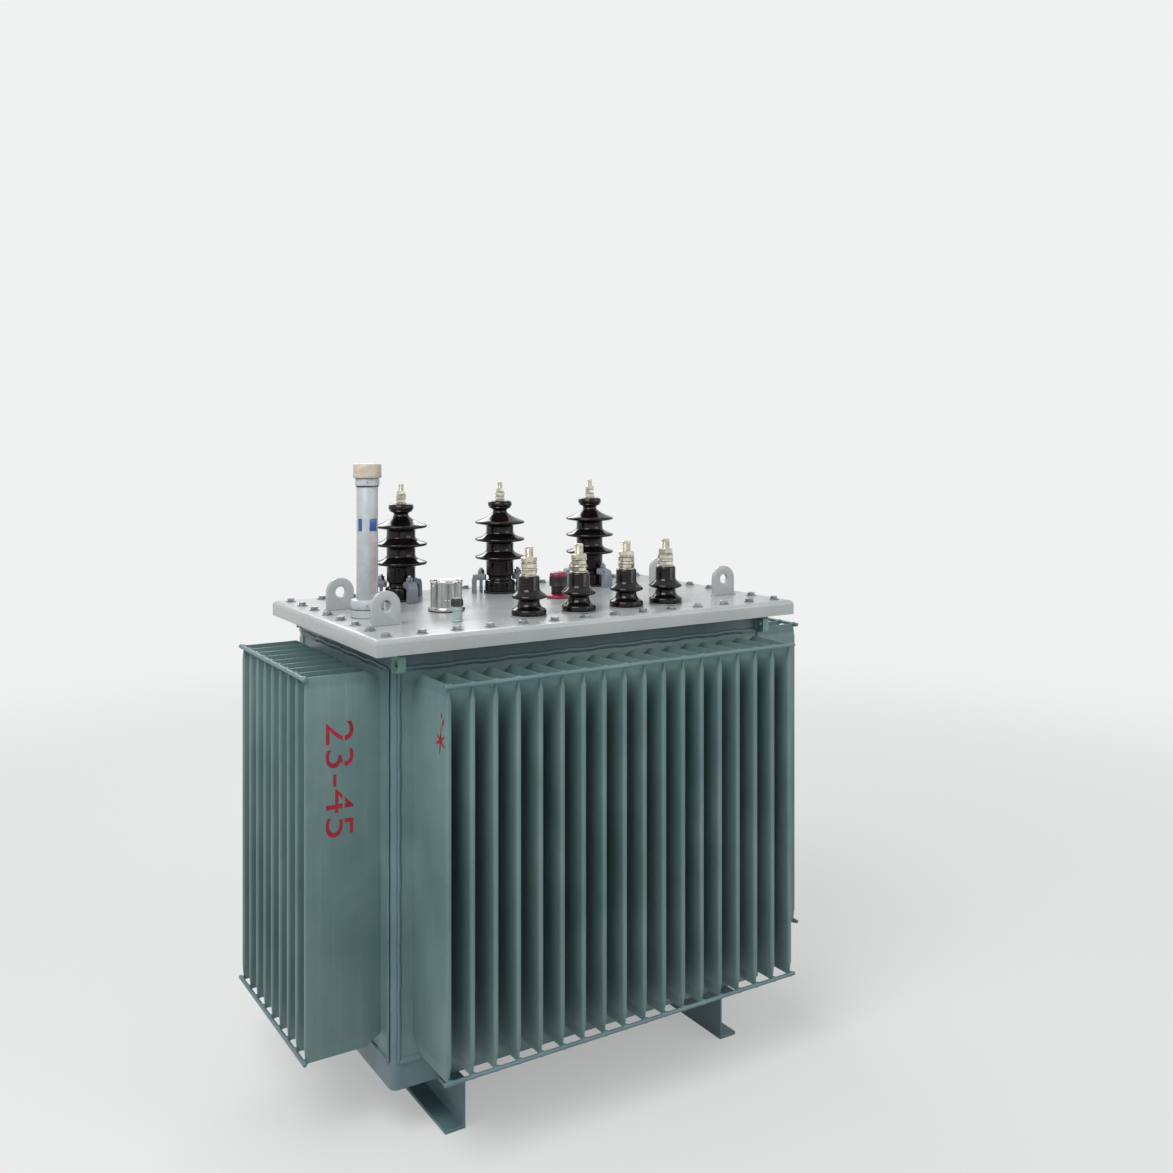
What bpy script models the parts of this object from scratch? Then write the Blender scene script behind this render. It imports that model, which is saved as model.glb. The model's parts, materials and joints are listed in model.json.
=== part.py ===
# Oil-filled distribution transformer with a bolted rectangular lid, corrugated cooling fins on all
# four walls, three high-voltage bushings, four low-voltage bushings and the usual lid fittings.
# Metres, +Z up. The origin is on the floor under the middle of the tank, +X runs along the long side
# and -Y is the low-voltage side that faces the photographer.
import bpy
import bmesh
from math import cos, pi, radians, sin
from mathutils import Matrix, Vector

# Clearance left between touching pieces
GAP = 0.0003

# Lid: a plate with its edges bent down into a skirt
LID_LENGTH = 1.240
LID_DEPTH = 0.760
LID_TOP = 1.180
LID_PLATE = 0.008
LID_SKIRT = 0.039
LID_BEND = 0.012

# Gasket and welded flange under the lid plate
FLANGE_MARGIN = 0.014
GASKET_THICKNESS = 0.004
FLANGE_THICKNESS = 0.014

# Tank: a rim frame at the top, the tank under it and two channels that carry it
TANK_INSET = 0.061
TANK_CORNER = 0.018
RIM_DROP = 0.083
SHEET = 0.003
TANK_FLOOR = 0.120
CHANNEL_WIDTH = 0.053
CHANNEL_WEB = 0.006
CHANNEL_FLANGE = 0.009
CHANNEL_INSET = 0.149
CHANNEL_OVERHANG = 0.030

# Corrugated fins
FIN_THICKNESS = 0.0135
FIN_DEPTH = 0.182
FIN_DROP = 0.093
FIN_FOOT = 0.207
FIN_NOSE = 0.0055
RIDGE_HEIGHT = 0.035
RIDGE_THICKNESS = 0.005
RIDGE_SETBACK = 0.004
ROOT_DIP = 0.028
ROOT_DIP_WIDTH = 0.036
SHEET_CORNER_INSET = 0.020
LONG_FINS = 18
LONG_FIN_END = 0.061
SHORT_FINS = 9
SHORT_FIN_END = 0.072

# Round rods welded across the outer corners of the fins
ROD_RADIUS = 0.005
ROD_SIDES = 12
ROD_BELOW_RIDGE = 0.003
ROD_END = 0.006

# Lifting eyes on the lid
LID_LUG_END = 0.100
LID_LUG_FRONT = 0.190
LID_LUG_BACK = 0.258
LID_LUG_RADIUS = 0.037
LID_LUG_HEIGHT = 0.084
LID_LUG_THICKNESS = 0.012
LID_LUG_EYE = 0.014

# Lifting eyes at the corners of the tank
CORNER_LUG_END = 0.075
CORNER_LUG_WIDTH = 0.020
CORNER_LUG_REACH = 0.030
CORNER_LUG_DROP = 0.042
CORNER_LUG_HEIGHT = 0.047
CORNER_LUG_ROUND = 0.013
CORNER_LUG_EYE = 0.009

# High-voltage bushings
HV_SPACING = 0.312
HV_BACK = 0.178
HV_BASE_RADIUS = 0.044
HV_BASE_HEIGHT = 0.037
HV_NECK_RADIUS = 0.033
HV_TRUNK_RADIUS = 0.040
HV_SHED_RADIUS = 0.073
HV_SHED_EDGES = (0.106, 0.158, 0.208)
HV_SHED_LIP = 0.007
HV_SHED_RISE = 0.017
HV_THROAT_RADIUS = 0.020
HV_THROAT_HEIGHT = 0.238
HV_CAP_RADIUS = 0.035
HV_HEIGHT = 0.270
HV_GASKET_RADIUS = 0.047
HV_GASKET_HEIGHT = 0.006
HV_STUD_RADIUS = 0.0075
HV_STUD_TOP = 0.326
HV_WASHER_RADIUS = 0.022
HV_NUT_RADIUS = 0.015
HV_NUT_HEIGHT = 0.014

# Low-voltage bushings
LV_PLACES = (-0.150, 0.0, 0.150, 0.280)
LV_FRONT = 0.141
LV_BASE_RADIUS = 0.045
LV_BASE_HEIGHT = 0.018
LV_WAIST_RADIUS = 0.027
LV_WAIST_HEIGHT = 0.038
LV_SHED_HEIGHT = 0.050
LV_SHOULDER_HEIGHT = 0.068
LV_HEIGHT = 0.102
LV_STUD_RADIUS = 0.0115
LV_STUD_TOP = 0.177
LV_WASHER_RADIUS = 0.024
LV_NUT_RADIUS = 0.0215
LV_NUT_HEIGHT = 0.020

# Oil gauge tube near the left end, midway between the two rows of lifting eyes
GAUGE_END = 0.115
GAUGE_BASE_RADIUS = 0.042
GAUGE_BASE_HEIGHT = 0.045
GAUGE_RADIUS = 0.027
GAUGE_COLLAR_RADIUS = 0.0305
GAUGE_COLLAR_BOTTOM = 0.333
GAUGE_COLLAR_TOP = 0.352
GAUGE_CAP_RADIUS = 0.036
GAUGE_TOP = 0.389

# Pressure relief valve, a little in front of the lid's middle line
RELIEF_END = 0.332
RELIEF_AHEAD = 0.042
RELIEF_FLANGE_RADIUS = 0.048
RELIEF_FLANGE_HEIGHT = 0.010
RELIEF_RADIUS = 0.0415
RELIEF_LIP = 0.0015
RELIEF_LIP_HEIGHT = 0.007
RELIEF_DOME = 0.005
RELIEF_HEIGHT = 0.086

# Thermometer pocket
POCKET_END = 0.275
POCKET_FRONT = 0.156
POCKET_RADIUS = 0.0135
POCKET_HEIGHT = 0.038
POCKET_CAP_RADIUS = 0.0155
POCKET_CAP_HEIGHT = 0.020

# Tap changer, a little behind the lid's middle line
TAP_OFFSET = 0.089
TAP_BEHIND = 0.016
TAP_FLANGE_RADIUS = 0.035
TAP_FLANGE_HEIGHT = 0.011
TAP_STEM_RADIUS = 0.020
TAP_STEM_TOP = 0.033
TAP_RADIUS = 0.0255
TAP_BODY_TOP = 0.060
TAP_COVER_RADIUS = 0.0245
TAP_COVER_HEIGHT = 0.014
TAP_COVER_DOME = 0.005

ROUND_STEPS = 20

TANK_LENGTH = LID_LENGTH - 2 * TANK_INSET
TANK_DEPTH = LID_DEPTH - 2 * TANK_INSET
CHANNEL_PLACE = TANK_LENGTH / 2 - CHANNEL_INSET
LID_LEFT = -LID_LENGTH / 2
LID_FRONT = -LID_DEPTH / 2
LID_LUG_FRONT_ROW = LID_FRONT + LID_LUG_FRONT
LID_LUG_BACK_ROW = -LID_FRONT - LID_LUG_BACK
SHEET_TOP = LID_TOP - RIM_DROP
SHEET_BOTTOM = FIN_FOOT - (RIM_DROP - LID_SKIRT) / 2
FIN_TOP = LID_TOP - FIN_DROP


def clear_scene():
    for old in list(bpy.data.objects):
        bpy.data.objects.remove(old)
    for old in list(bpy.data.collections):
        bpy.data.collections.remove(old)


def new_collection(name):
    group = bpy.data.collections.new(name)
    bpy.context.scene.collection.children.link(group)
    return group


def material(name, colour, roughness, metallic=0.0):
    made = bpy.data.materials.new(name)
    made.use_nodes = True
    shader = made.node_tree.nodes["Principled BSDF"]
    shader.inputs["Base Color"].default_value = (*colour, 1.0)
    shader.inputs["Roughness"].default_value = roughness
    shader.inputs["Metallic"].default_value = metallic
    return made


def add_object(name, mesh, group, mat=None, place=(0.0, 0.0, 0.0), turn=0.0):
    ob = bpy.data.objects.new(name, mesh)
    ob.location = place
    ob.rotation_euler = (0.0, 0.0, turn)
    group.objects.link(ob)
    if mat and not mesh.materials:
        mesh.materials.append(mat)
    return ob


def mesh_from(bm, name):
    bmesh.ops.recalc_face_normals(bm, faces=bm.faces)
    mesh = bpy.data.meshes.new(name)
    bm.to_mesh(mesh)
    bm.free()
    return mesh


def box_bm(size, centre):
    bm = bmesh.new()
    scale = Matrix.Diagonal((*size, 1.0))
    bmesh.ops.create_cube(bm, size=1.0, matrix=Matrix.Translation(centre) @ scale)
    return bm


def box_mesh(name, low, high):
    size = Vector(high) - Vector(low)
    centre = (Vector(high) + Vector(low)) / 2
    return mesh_from(box_bm(size, centre), name)


def edges_at(bm, test):
    return [e for e in bm.edges if all(test(v.co) for v in e.verts)]


def round_edges(bm, edges, radius, segments):
    bmesh.ops.bevel(bm, geom=edges, offset=radius, segments=segments, profile=0.5, affect="EDGES")


def upright_edges(bm):
    return [e for e in bm.edges if abs(e.verts[0].co.z - e.verts[1].co.z) > 1e-4]


def rod_mesh(name, radius, length, axis, sides=ROUND_STEPS, centre=(0.0, 0.0, 0.0), phase=0.0):
    """A straight round or many-sided bar with its middle at centre, lying along axis X, Y or Z."""
    turn = {"X": Matrix.Rotation(pi / 2, 4, "Y"), "Y": Matrix.Rotation(pi / 2, 4, "X"), "Z": Matrix()}[axis]
    bm = bmesh.new()
    bmesh.ops.create_cone(
        bm, cap_ends=True, segments=sides, radius1=radius, radius2=radius, depth=length,
        matrix=Matrix.Translation(centre) @ turn @ Matrix.Rotation(phase, 4, "Z"),
    )
    return mesh_from(bm, name)


def smooth_sides(mesh):
    for face in mesh.polygons:
        face.use_smooth = len(face.vertices) <= 4


def turned_mesh(name, profile):
    """Profile points (radius, height) run from the axis at the top down the outer side to the axis."""
    mesh = bpy.data.meshes.new(name)
    points = [(radius, 0.0, height) for radius, height in profile]
    mesh.from_pydata(points, [(i, i + 1) for i in range(len(points) - 1)], [])
    return mesh


def add_turned(name, mesh, group, mat, place):
    ob = add_object(name, mesh, group, mat, place)
    screw = ob.modifiers.new("Turn", "SCREW")
    screw.axis = "Z"
    screw.steps = ROUND_STEPS
    screw.render_steps = ROUND_STEPS
    screw.use_merge_vertices = True
    screw.merge_threshold = 0.00005
    screw.use_smooth_shade = True
    return ob


def add_boolean(ob, other, operation):
    mod = ob.modifiers.new(operation.title(), "BOOLEAN")
    mod.operation = operation
    mod.solver = "EXACT"
    mod.object = other


def add_cutter(name, mesh, group, place=(0.0, 0.0, 0.0), turn=0.0):
    ob = add_object(name, mesh, group, None, place, turn)
    ob.hide_render = True
    ob.display_type = "WIRE"
    return ob


def baked(ob, name):
    """The evaluated mesh of an object, for copies that share one mesh."""
    bpy.context.view_layer.update()
    graph = bpy.context.evaluated_depsgraph_get()
    mesh = bpy.data.meshes.new_from_object(ob.evaluated_get(graph))
    mesh.name = name
    return mesh


def fin_bm():
    """One hollow-looking fin standing on the wall at y = 0 and reaching out to y = -FIN_DEPTH."""
    low = FIN_FOOT + RIDGE_HEIGHT
    high = FIN_TOP - RIDGE_HEIGHT
    root = SHEET / 2
    size = (FIN_THICKNESS, FIN_DEPTH + root, high - low)
    bm = box_bm(size, (0.0, (root - FIN_DEPTH) / 2, (low + high) / 2))
    nose = [e for e in upright_edges(bm) if e.verts[0].co.y < 0]
    round_edges(bm, nose, FIN_NOSE, 2)
    for end in (-1, 1):
        bm.faces.ensure_lookup_table()
        level = high if end > 0 else low
        cap = [f for f in bm.faces if all(abs(v.co.z - level) < 1e-6 for v in f.verts)]
        grown = bmesh.ops.extrude_face_region(bm, geom=cap)
        bmesh.ops.delete(bm, geom=cap, context="FACES_ONLY")
        for v in (g for g in grown["geom"] if isinstance(g, bmesh.types.BMVert)):
            v.co.z += end * RIDGE_HEIGHT
            v.co.x *= RIDGE_THICKNESS / FIN_THICKNESS
            if v.co.y < -ROOT_DIP_WIDTH:
                v.co.y += RIDGE_SETBACK
    bmesh.ops.bisect_plane(
        bm, geom=list(bm.verts) + list(bm.edges) + list(bm.faces),
        plane_co=(0.0, -ROOT_DIP_WIDTH, 0.0), plane_no=(0.0, 1.0, 0.0),
    )
    for v in bm.verts:
        if v.co.y > root - 1e-5 and v.co.z > FIN_TOP - 1e-5:
            v.co.z -= ROOT_DIP
        elif v.co.y > root - 1e-5 and v.co.z < FIN_FOOT + 1e-5:
            v.co.z += ROOT_DIP
    return bm


def fin_places(count, wall_length, end):
    pitch = (wall_length - 2 * end) / (count - 1)
    return [-wall_length / 2 + end + pitch * i for i in range(count)]


def fin_bank_mesh(name, count, wall_length, end, cutters):
    """A corrugated wall: a thin sheet on the tank wall with its fins standing out towards -Y."""
    half = wall_length / 2 - SHEET_CORNER_INSET
    sheet = box_mesh(name + "_sheet", (-half, 0.0, SHEET_BOTTOM), (half, SHEET, SHEET_TOP - GAP))
    wall = add_cutter(name + "_sheet", sheet, cutters)
    places = fin_places(count, wall_length, end)
    fins = add_cutter(name + "_fins", mesh_from(fin_bm(), name + "_fins"), cutters)
    fins.location.x = places[0]
    row = fins.modifiers.new("Row", "ARRAY")
    row.count = count
    row.use_relative_offset = False
    row.use_constant_offset = True
    row.constant_offset_displace = (places[1] - places[0], 0.0, 0.0)
    add_boolean(wall, fins, "UNION")
    mesh = baked(wall, name)
    bpy.data.objects.remove(wall)
    bpy.data.objects.remove(fins)
    return mesh


def lid_mesh():
    size = (LID_LENGTH, LID_DEPTH, LID_SKIRT)
    bm = box_bm(size, (0.0, 0.0, LID_TOP - LID_SKIRT / 2))
    round_edges(bm, edges_at(bm, lambda co: co.z > LID_TOP - 1e-5), LID_BEND, 5)
    return mesh_from(bm, "lid")


def rounded_block(name, length, depth, low, high, radius):
    bm = box_bm((length, depth, high - low), (0.0, 0.0, (low + high) / 2))
    round_edges(bm, upright_edges(bm), radius, 4)
    return mesh_from(bm, name)


def lid_lug_mesh(cutters):
    """A plate with a round top and an eye, standing on z = 0 parallel to the long side."""
    centre = LID_LUG_HEIGHT - LID_LUG_RADIUS
    half = LID_LUG_THICKNESS / 2
    foot = box_mesh("lug_foot", (-LID_LUG_RADIUS, -half, 0.0), (LID_LUG_RADIUS, half, centre))
    plate = add_cutter("lug_foot", foot, cutters)
    head = add_cutter("lug_head", rod_mesh(
        "lug_head", LID_LUG_RADIUS, LID_LUG_THICKNESS, "Y", 32, (0.0, 0.0, centre)), cutters)
    eye = add_cutter("lug_eye", rod_mesh(
        "lug_eye", LID_LUG_EYE, 4 * LID_LUG_THICKNESS, "Y", 20, (0.0, 0.0, centre)), cutters)
    add_boolean(plate, head, "UNION")
    add_boolean(plate, eye, "DIFFERENCE")
    mesh = baked(plate, "lid_lug")
    for ob in (plate, head, eye):
        bpy.data.objects.remove(ob)
    return mesh


def corner_lug_mesh(cutters):
    """A thick plate square to the wall at y = 0, reaching out to -Y, with an eye along X."""
    size = (CORNER_LUG_WIDTH, CORNER_LUG_REACH, CORNER_LUG_HEIGHT)
    bm = box_bm(size, (0.0, -CORNER_LUG_REACH / 2, -CORNER_LUG_HEIGHT / 2))
    outer = edges_at(bm, lambda co: co.y < -CORNER_LUG_REACH / 2)
    round_edges(bm, [e for e in outer if abs(e.verts[0].co.x - e.verts[1].co.x) > 1e-4], CORNER_LUG_ROUND, 5)
    plate = add_cutter("corner_plate", mesh_from(bm, "corner_plate"), cutters)
    centre = (0.0, -CORNER_LUG_REACH / 2 - 0.001, -CORNER_LUG_HEIGHT / 2)
    eye = add_cutter("corner_eye", rod_mesh(
        "corner_eye", CORNER_LUG_EYE, 4 * CORNER_LUG_WIDTH, "X", 16, centre), cutters)
    add_boolean(plate, eye, "DIFFERENCE")
    mesh = baked(plate, "corner_lug")
    bpy.data.objects.remove(plate)
    bpy.data.objects.remove(eye)
    return mesh


def channel_mesh(cutters):
    """A channel lying along Y with its open side towards -X."""
    half = TANK_DEPTH / 2 + CHANNEL_OVERHANG
    whole = box_mesh("channel", (-CHANNEL_WIDTH / 2, -half, 0.0), (CHANNEL_WIDTH / 2, half, TANK_FLOOR - GAP))
    hollow = box_mesh("channel_hollow", (-CHANNEL_WIDTH, -2 * half, CHANNEL_FLANGE),
                      (CHANNEL_WIDTH / 2 - CHANNEL_WEB, 2 * half, TANK_FLOOR - GAP - CHANNEL_FLANGE))
    bar = add_cutter("channel", whole, cutters)
    cut = add_cutter("channel_hollow", hollow, cutters)
    add_boolean(bar, cut, "DIFFERENCE")
    mesh = baked(bar, "base_channel")
    bpy.data.objects.remove(bar)
    bpy.data.objects.remove(cut)
    return mesh


def terminal_mesh(name, stud, top, washer, nut, nut_height, cutters):
    """A threaded stud with a washer and two stacked nuts, starting at z = 0."""
    thin = nut_height / 4
    bar = add_cutter(name + "_stud", rod_mesh(name + "_stud", stud, top, "Z", 16, (0, 0, top / 2)), cutters)
    pieces = [rod_mesh(name + "_washer", washer, thin, "Z", ROUND_STEPS, (0, 0, thin / 2))]
    level = thin - 0.0002
    for i in range(2):
        height = nut_height + 0.0002
        pieces.append(rod_mesh(f"{name}_nut_{i}", nut, height, "Z", 6, (0, 0, level + height / 2), i * 0.35))
        level += nut_height
    added = []
    for mesh in pieces:
        other = add_cutter(mesh.name, mesh, cutters)
        add_boolean(bar, other, "UNION")
        added.append(other)
    mesh = baked(bar, name)
    for ob in added + [bar]:
        bpy.data.objects.remove(ob)
    return mesh


def hv_profile():
    points = [(0.0, HV_HEIGHT), (HV_CAP_RADIUS * 0.75, HV_HEIGHT), (HV_CAP_RADIUS, HV_HEIGHT - 0.006)]
    points += [(HV_CAP_RADIUS, HV_HEIGHT - 0.017), (HV_CAP_RADIUS - 0.004, HV_HEIGHT - 0.021)]
    points += [(HV_THROAT_RADIUS, HV_THROAT_HEIGHT)]
    for i, edge in enumerate(reversed(HV_SHED_EDGES)):
        if i:
            points += [(HV_TRUNK_RADIUS, edge + HV_SHED_RISE)]
        points += [(HV_SHED_RADIUS, edge + 0.001), (HV_SHED_RADIUS, edge - 0.004)]
        points += [(HV_SHED_RADIUS - 0.004, edge - HV_SHED_LIP), (HV_TRUNK_RADIUS, edge - HV_SHED_LIP - 0.002)]
    points += [(HV_TRUNK_RADIUS, HV_BASE_HEIGHT + 0.018), (HV_NECK_RADIUS, HV_BASE_HEIGHT + 0.008)]
    points += [(HV_NECK_RADIUS + 0.002, HV_BASE_HEIGHT + 0.002), (HV_BASE_RADIUS - 0.004, HV_BASE_HEIGHT)]
    points += [(HV_BASE_RADIUS, HV_BASE_HEIGHT - 0.004), (HV_BASE_RADIUS, HV_GASKET_HEIGHT + GAP)]
    points += [(0.0, HV_GASKET_HEIGHT + GAP)]
    return points


def lv_profile():
    radius = LV_BASE_RADIUS
    return [
        (0.0, LV_HEIGHT), (LV_WAIST_RADIUS - 0.002, LV_HEIGHT), (LV_WAIST_RADIUS, LV_HEIGHT - 0.002),
        (LV_WAIST_RADIUS + 0.001, LV_SHOULDER_HEIGHT), (radius - 0.002, LV_SHED_HEIGHT + 0.003),
        (radius, LV_SHED_HEIGHT), (radius - 0.002, LV_SHED_HEIGHT - 0.003),
        (LV_WAIST_RADIUS + 0.003, LV_WAIST_HEIGHT + 0.003), (LV_WAIST_RADIUS, LV_WAIST_HEIGHT),
        (LV_WAIST_RADIUS + 0.004, LV_BASE_HEIGHT + 0.008), (radius - 0.003, LV_BASE_HEIGHT),
        (radius, LV_BASE_HEIGHT - 0.003), (radius, 0.0), (0.0, 0.0),
    ]


def gauge_profile():
    return [
        (0.0, GAUGE_COLLAR_TOP), (GAUGE_COLLAR_RADIUS - 0.002, GAUGE_COLLAR_TOP),
        (GAUGE_COLLAR_RADIUS, GAUGE_COLLAR_TOP - 0.002), (GAUGE_COLLAR_RADIUS, GAUGE_COLLAR_BOTTOM),
        (GAUGE_RADIUS, GAUGE_COLLAR_BOTTOM - 0.001), (GAUGE_RADIUS, GAUGE_BASE_HEIGHT),
        (GAUGE_BASE_RADIUS - 0.003, GAUGE_BASE_HEIGHT), (GAUGE_BASE_RADIUS, GAUGE_BASE_HEIGHT - 0.003),
        (GAUGE_BASE_RADIUS, 0.0), (0.0, 0.0),
    ]


def gauge_cap_profile():
    low = GAUGE_COLLAR_TOP + GAP
    return [
        (0.0, GAUGE_TOP), (GAUGE_CAP_RADIUS * 0.55, GAUGE_TOP - 0.001), (GAUGE_CAP_RADIUS * 0.85, GAUGE_TOP - 0.004),
        (GAUGE_CAP_RADIUS, GAUGE_TOP - 0.010), (GAUGE_CAP_RADIUS, low + 0.002),
        (GAUGE_CAP_RADIUS - 0.002, low), (0.0, low),
    ]


def relief_profile():
    rim = RELIEF_HEIGHT - RELIEF_DOME
    lip = RELIEF_RADIUS + RELIEF_LIP
    edge = RELIEF_FLANGE_RADIUS
    points = [(0.0, RELIEF_HEIGHT), (RELIEF_RADIUS * 0.5, RELIEF_HEIGHT - RELIEF_DOME * 0.25)]
    points += [(RELIEF_RADIUS * 0.85, rim), (lip - 0.002, rim), (lip, rim - 0.002)]
    points += [(lip, rim - RELIEF_LIP_HEIGHT + 0.001), (RELIEF_RADIUS, rim - RELIEF_LIP_HEIGHT)]
    points += [(RELIEF_RADIUS, RELIEF_FLANGE_HEIGHT), (edge - 0.002, RELIEF_FLANGE_HEIGHT - 0.001)]
    points += [(edge - 0.002, RELIEF_FLANGE_HEIGHT / 2), (edge, RELIEF_FLANGE_HEIGHT / 2 - 0.001), (edge, 0.0), (0.0, 0.0)]
    return points


def tap_body_profile():
    low = TAP_FLANGE_HEIGHT + GAP
    return [
        (0.0, TAP_BODY_TOP), (TAP_RADIUS - 0.001, TAP_BODY_TOP), (TAP_RADIUS, TAP_BODY_TOP - 0.001),
        (TAP_RADIUS, TAP_STEM_TOP + 0.001), (TAP_RADIUS - 0.002, TAP_STEM_TOP), (TAP_STEM_RADIUS, TAP_STEM_TOP),
        (TAP_STEM_RADIUS, low), (0.0, low),
    ]


def tap_cover_profile():
    low = TAP_BODY_TOP + GAP
    rim = low + TAP_COVER_HEIGHT - TAP_COVER_DOME
    return [
        (0.0, rim + TAP_COVER_DOME), (TAP_COVER_RADIUS * 0.5, rim + TAP_COVER_DOME * 0.8),
        (TAP_COVER_RADIUS - 0.002, rim), (TAP_COVER_RADIUS, rim - 0.002), (TAP_COVER_RADIUS, low), (0.0, low),
    ]


def cylinder_profile(radius, low, high, edge=0.0015):
    return [(0.0, high), (radius - edge, high), (radius, high - edge), (radius, low + edge), (radius - edge, low), (0.0, low)]


clear_scene()
PARTS = new_collection("distribution_transformer")
CUTTERS = new_collection("cutters")

LID_PAINT = material("lid_paint", (0.49, 0.51, 0.50), 0.35)
TANK_PAINT = material("tank_paint", (0.16, 0.27, 0.26), 0.40)
FIN_PAINT = material("fin_paint", (0.16, 0.27, 0.26), 0.40)
PORCELAIN = material("brown_porcelain", (0.022, 0.012, 0.010), 0.12)
STUD_METAL = material("stud_metal", (0.62, 0.58, 0.50), 0.35, 1.0)
GASKET_RUBBER = material("gasket_rubber", (0.03, 0.03, 0.03), 0.75)
GAUGE_METAL = material("gauge_metal", (0.66, 0.68, 0.70), 0.38, 0.6)
GAUGE_CAP = material("gauge_cap", (0.62, 0.52, 0.42), 0.40)
STAINLESS = material("stainless", (0.60, 0.60, 0.60), 0.22, 1.0)
BLACK_PLASTIC = material("black_plastic", (0.025, 0.025, 0.028), 0.45)
RED_PLASTIC = material("red_plastic", (0.55, 0.05, 0.04), 0.40)

# Lid, with the plate hollow under it inside the skirt
lid = add_object("lid", lid_mesh(), PARTS, LID_PAINT)
pocket = add_cutter("lid_pocket", box_mesh(
    "lid_pocket",
    (LID_LEFT + LID_PLATE, LID_FRONT + LID_PLATE, LID_TOP - 2 * LID_SKIRT),
    (-LID_LEFT - LID_PLATE, -LID_FRONT - LID_PLATE, LID_TOP - LID_PLATE),
), CUTTERS)
add_boolean(lid, pocket, "DIFFERENCE")

gasket_top = LID_TOP - LID_PLATE - GAP
flange_top = gasket_top - GASKET_THICKNESS - GAP
rim_top = flange_top - FLANGE_THICKNESS - GAP
edge_x = LID_LEFT + FLANGE_MARGIN
edge_y = LID_FRONT + FLANGE_MARGIN
add_object("lid_gasket", box_mesh(
    "lid_gasket", (edge_x, edge_y, gasket_top - GASKET_THICKNESS), (-edge_x, -edge_y, gasket_top)), PARTS, GASKET_RUBBER)
add_object("tank_flange", box_mesh(
    "tank_flange", (edge_x, edge_y, flange_top - FLANGE_THICKNESS), (-edge_x, -edge_y, flange_top)), PARTS, TANK_PAINT)

# Tank
add_object("rim_frame", rounded_block(
    "rim_frame", TANK_LENGTH, TANK_DEPTH, SHEET_TOP, rim_top, TANK_CORNER), PARTS, TANK_PAINT)
recess = 2 * (SHEET + GAP)
add_object("tank_body", rounded_block(
    "tank_body", TANK_LENGTH - recess, TANK_DEPTH - recess, TANK_FLOOR, SHEET_TOP - GAP, TANK_CORNER), PARTS, TANK_PAINT)
channel = channel_mesh(CUTTERS)
add_object("base_channel_left", channel, PARTS, TANK_PAINT, (-CHANNEL_PLACE, 0.0, 0.0))
add_object("base_channel_right", channel, PARTS, TANK_PAINT, (CHANNEL_PLACE, 0.0, 0.0), pi)

# Corrugated walls and the rods welded across them
long_bank = fin_bank_mesh("long_bank", LONG_FINS, TANK_LENGTH, LONG_FIN_END, CUTTERS)
short_bank = fin_bank_mesh("short_bank", SHORT_FINS, TANK_DEPTH, SHORT_FIN_END, CUTTERS)
SIDES = (
    ("front", long_bank, 0.0, TANK_DEPTH / 2, TANK_LENGTH, LONG_FIN_END),
    ("right", short_bank, 90.0, TANK_LENGTH / 2, TANK_DEPTH, SHORT_FIN_END),
    ("back", long_bank, 180.0, TANK_DEPTH / 2, TANK_LENGTH, LONG_FIN_END),
    ("left", short_bank, 270.0, TANK_LENGTH / 2, TANK_DEPTH, SHORT_FIN_END),
)
ridge_slope = RIDGE_SETBACK / RIDGE_HEIGHT
rod_reach = FIN_DEPTH - RIDGE_SETBACK + ridge_slope * (ROD_BELOW_RIDGE + ROD_RADIUS) + ROD_RADIUS + GAP
for side, bank, angle, wall, length, end in SIDES:
    turn = radians(angle)
    outward = Vector((sin(turn), -cos(turn), 0.0))
    add_object(side + "_fin_bank", bank, PARTS, FIN_PAINT, outward * wall, turn)
    rod_length = length - 2 * end + FIN_THICKNESS + 2 * ROD_END
    rod = rod_mesh(side + "_tie_rod", ROD_RADIUS, rod_length, "X", ROD_SIDES)
    smooth_sides(rod)
    reach = wall + rod_reach
    for level, height in (("top", FIN_TOP - ROD_BELOW_RIDGE), ("bottom", FIN_FOOT + ROD_BELOW_RIDGE)):
        add_object(f"{side}_tie_rod_{level}", rod, PARTS, TANK_PAINT, outward * reach + Vector((0.0, 0.0, height)), turn)

# Lifting eyes on the lid and at the corners of the tank
lug = lid_lug_mesh(CUTTERS)
corner_lug = corner_lug_mesh(CUTTERS)
for side, sign in (("left", -1), ("right", 1)):
    x = sign * (LID_LENGTH / 2 - LID_LUG_END)
    add_object(f"lid_lug_front_{side}", lug, PARTS, LID_PAINT, (x, LID_LUG_FRONT_ROW, LID_TOP + GAP))
    add_object(f"lid_lug_back_{side}", lug, PARTS, LID_PAINT, (x, LID_LUG_BACK_ROW, LID_TOP + GAP))
    x = sign * (LID_LENGTH / 2 - CORNER_LUG_END)
    wall = TANK_DEPTH / 2 + GAP
    level = LID_TOP - CORNER_LUG_DROP
    add_object(f"corner_lug_front_{side}", corner_lug, PARTS, TANK_PAINT, (x, -wall, level))
    add_object(f"corner_lug_back_{side}", corner_lug, PARTS, TANK_PAINT, (x, wall, level), pi)

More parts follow.
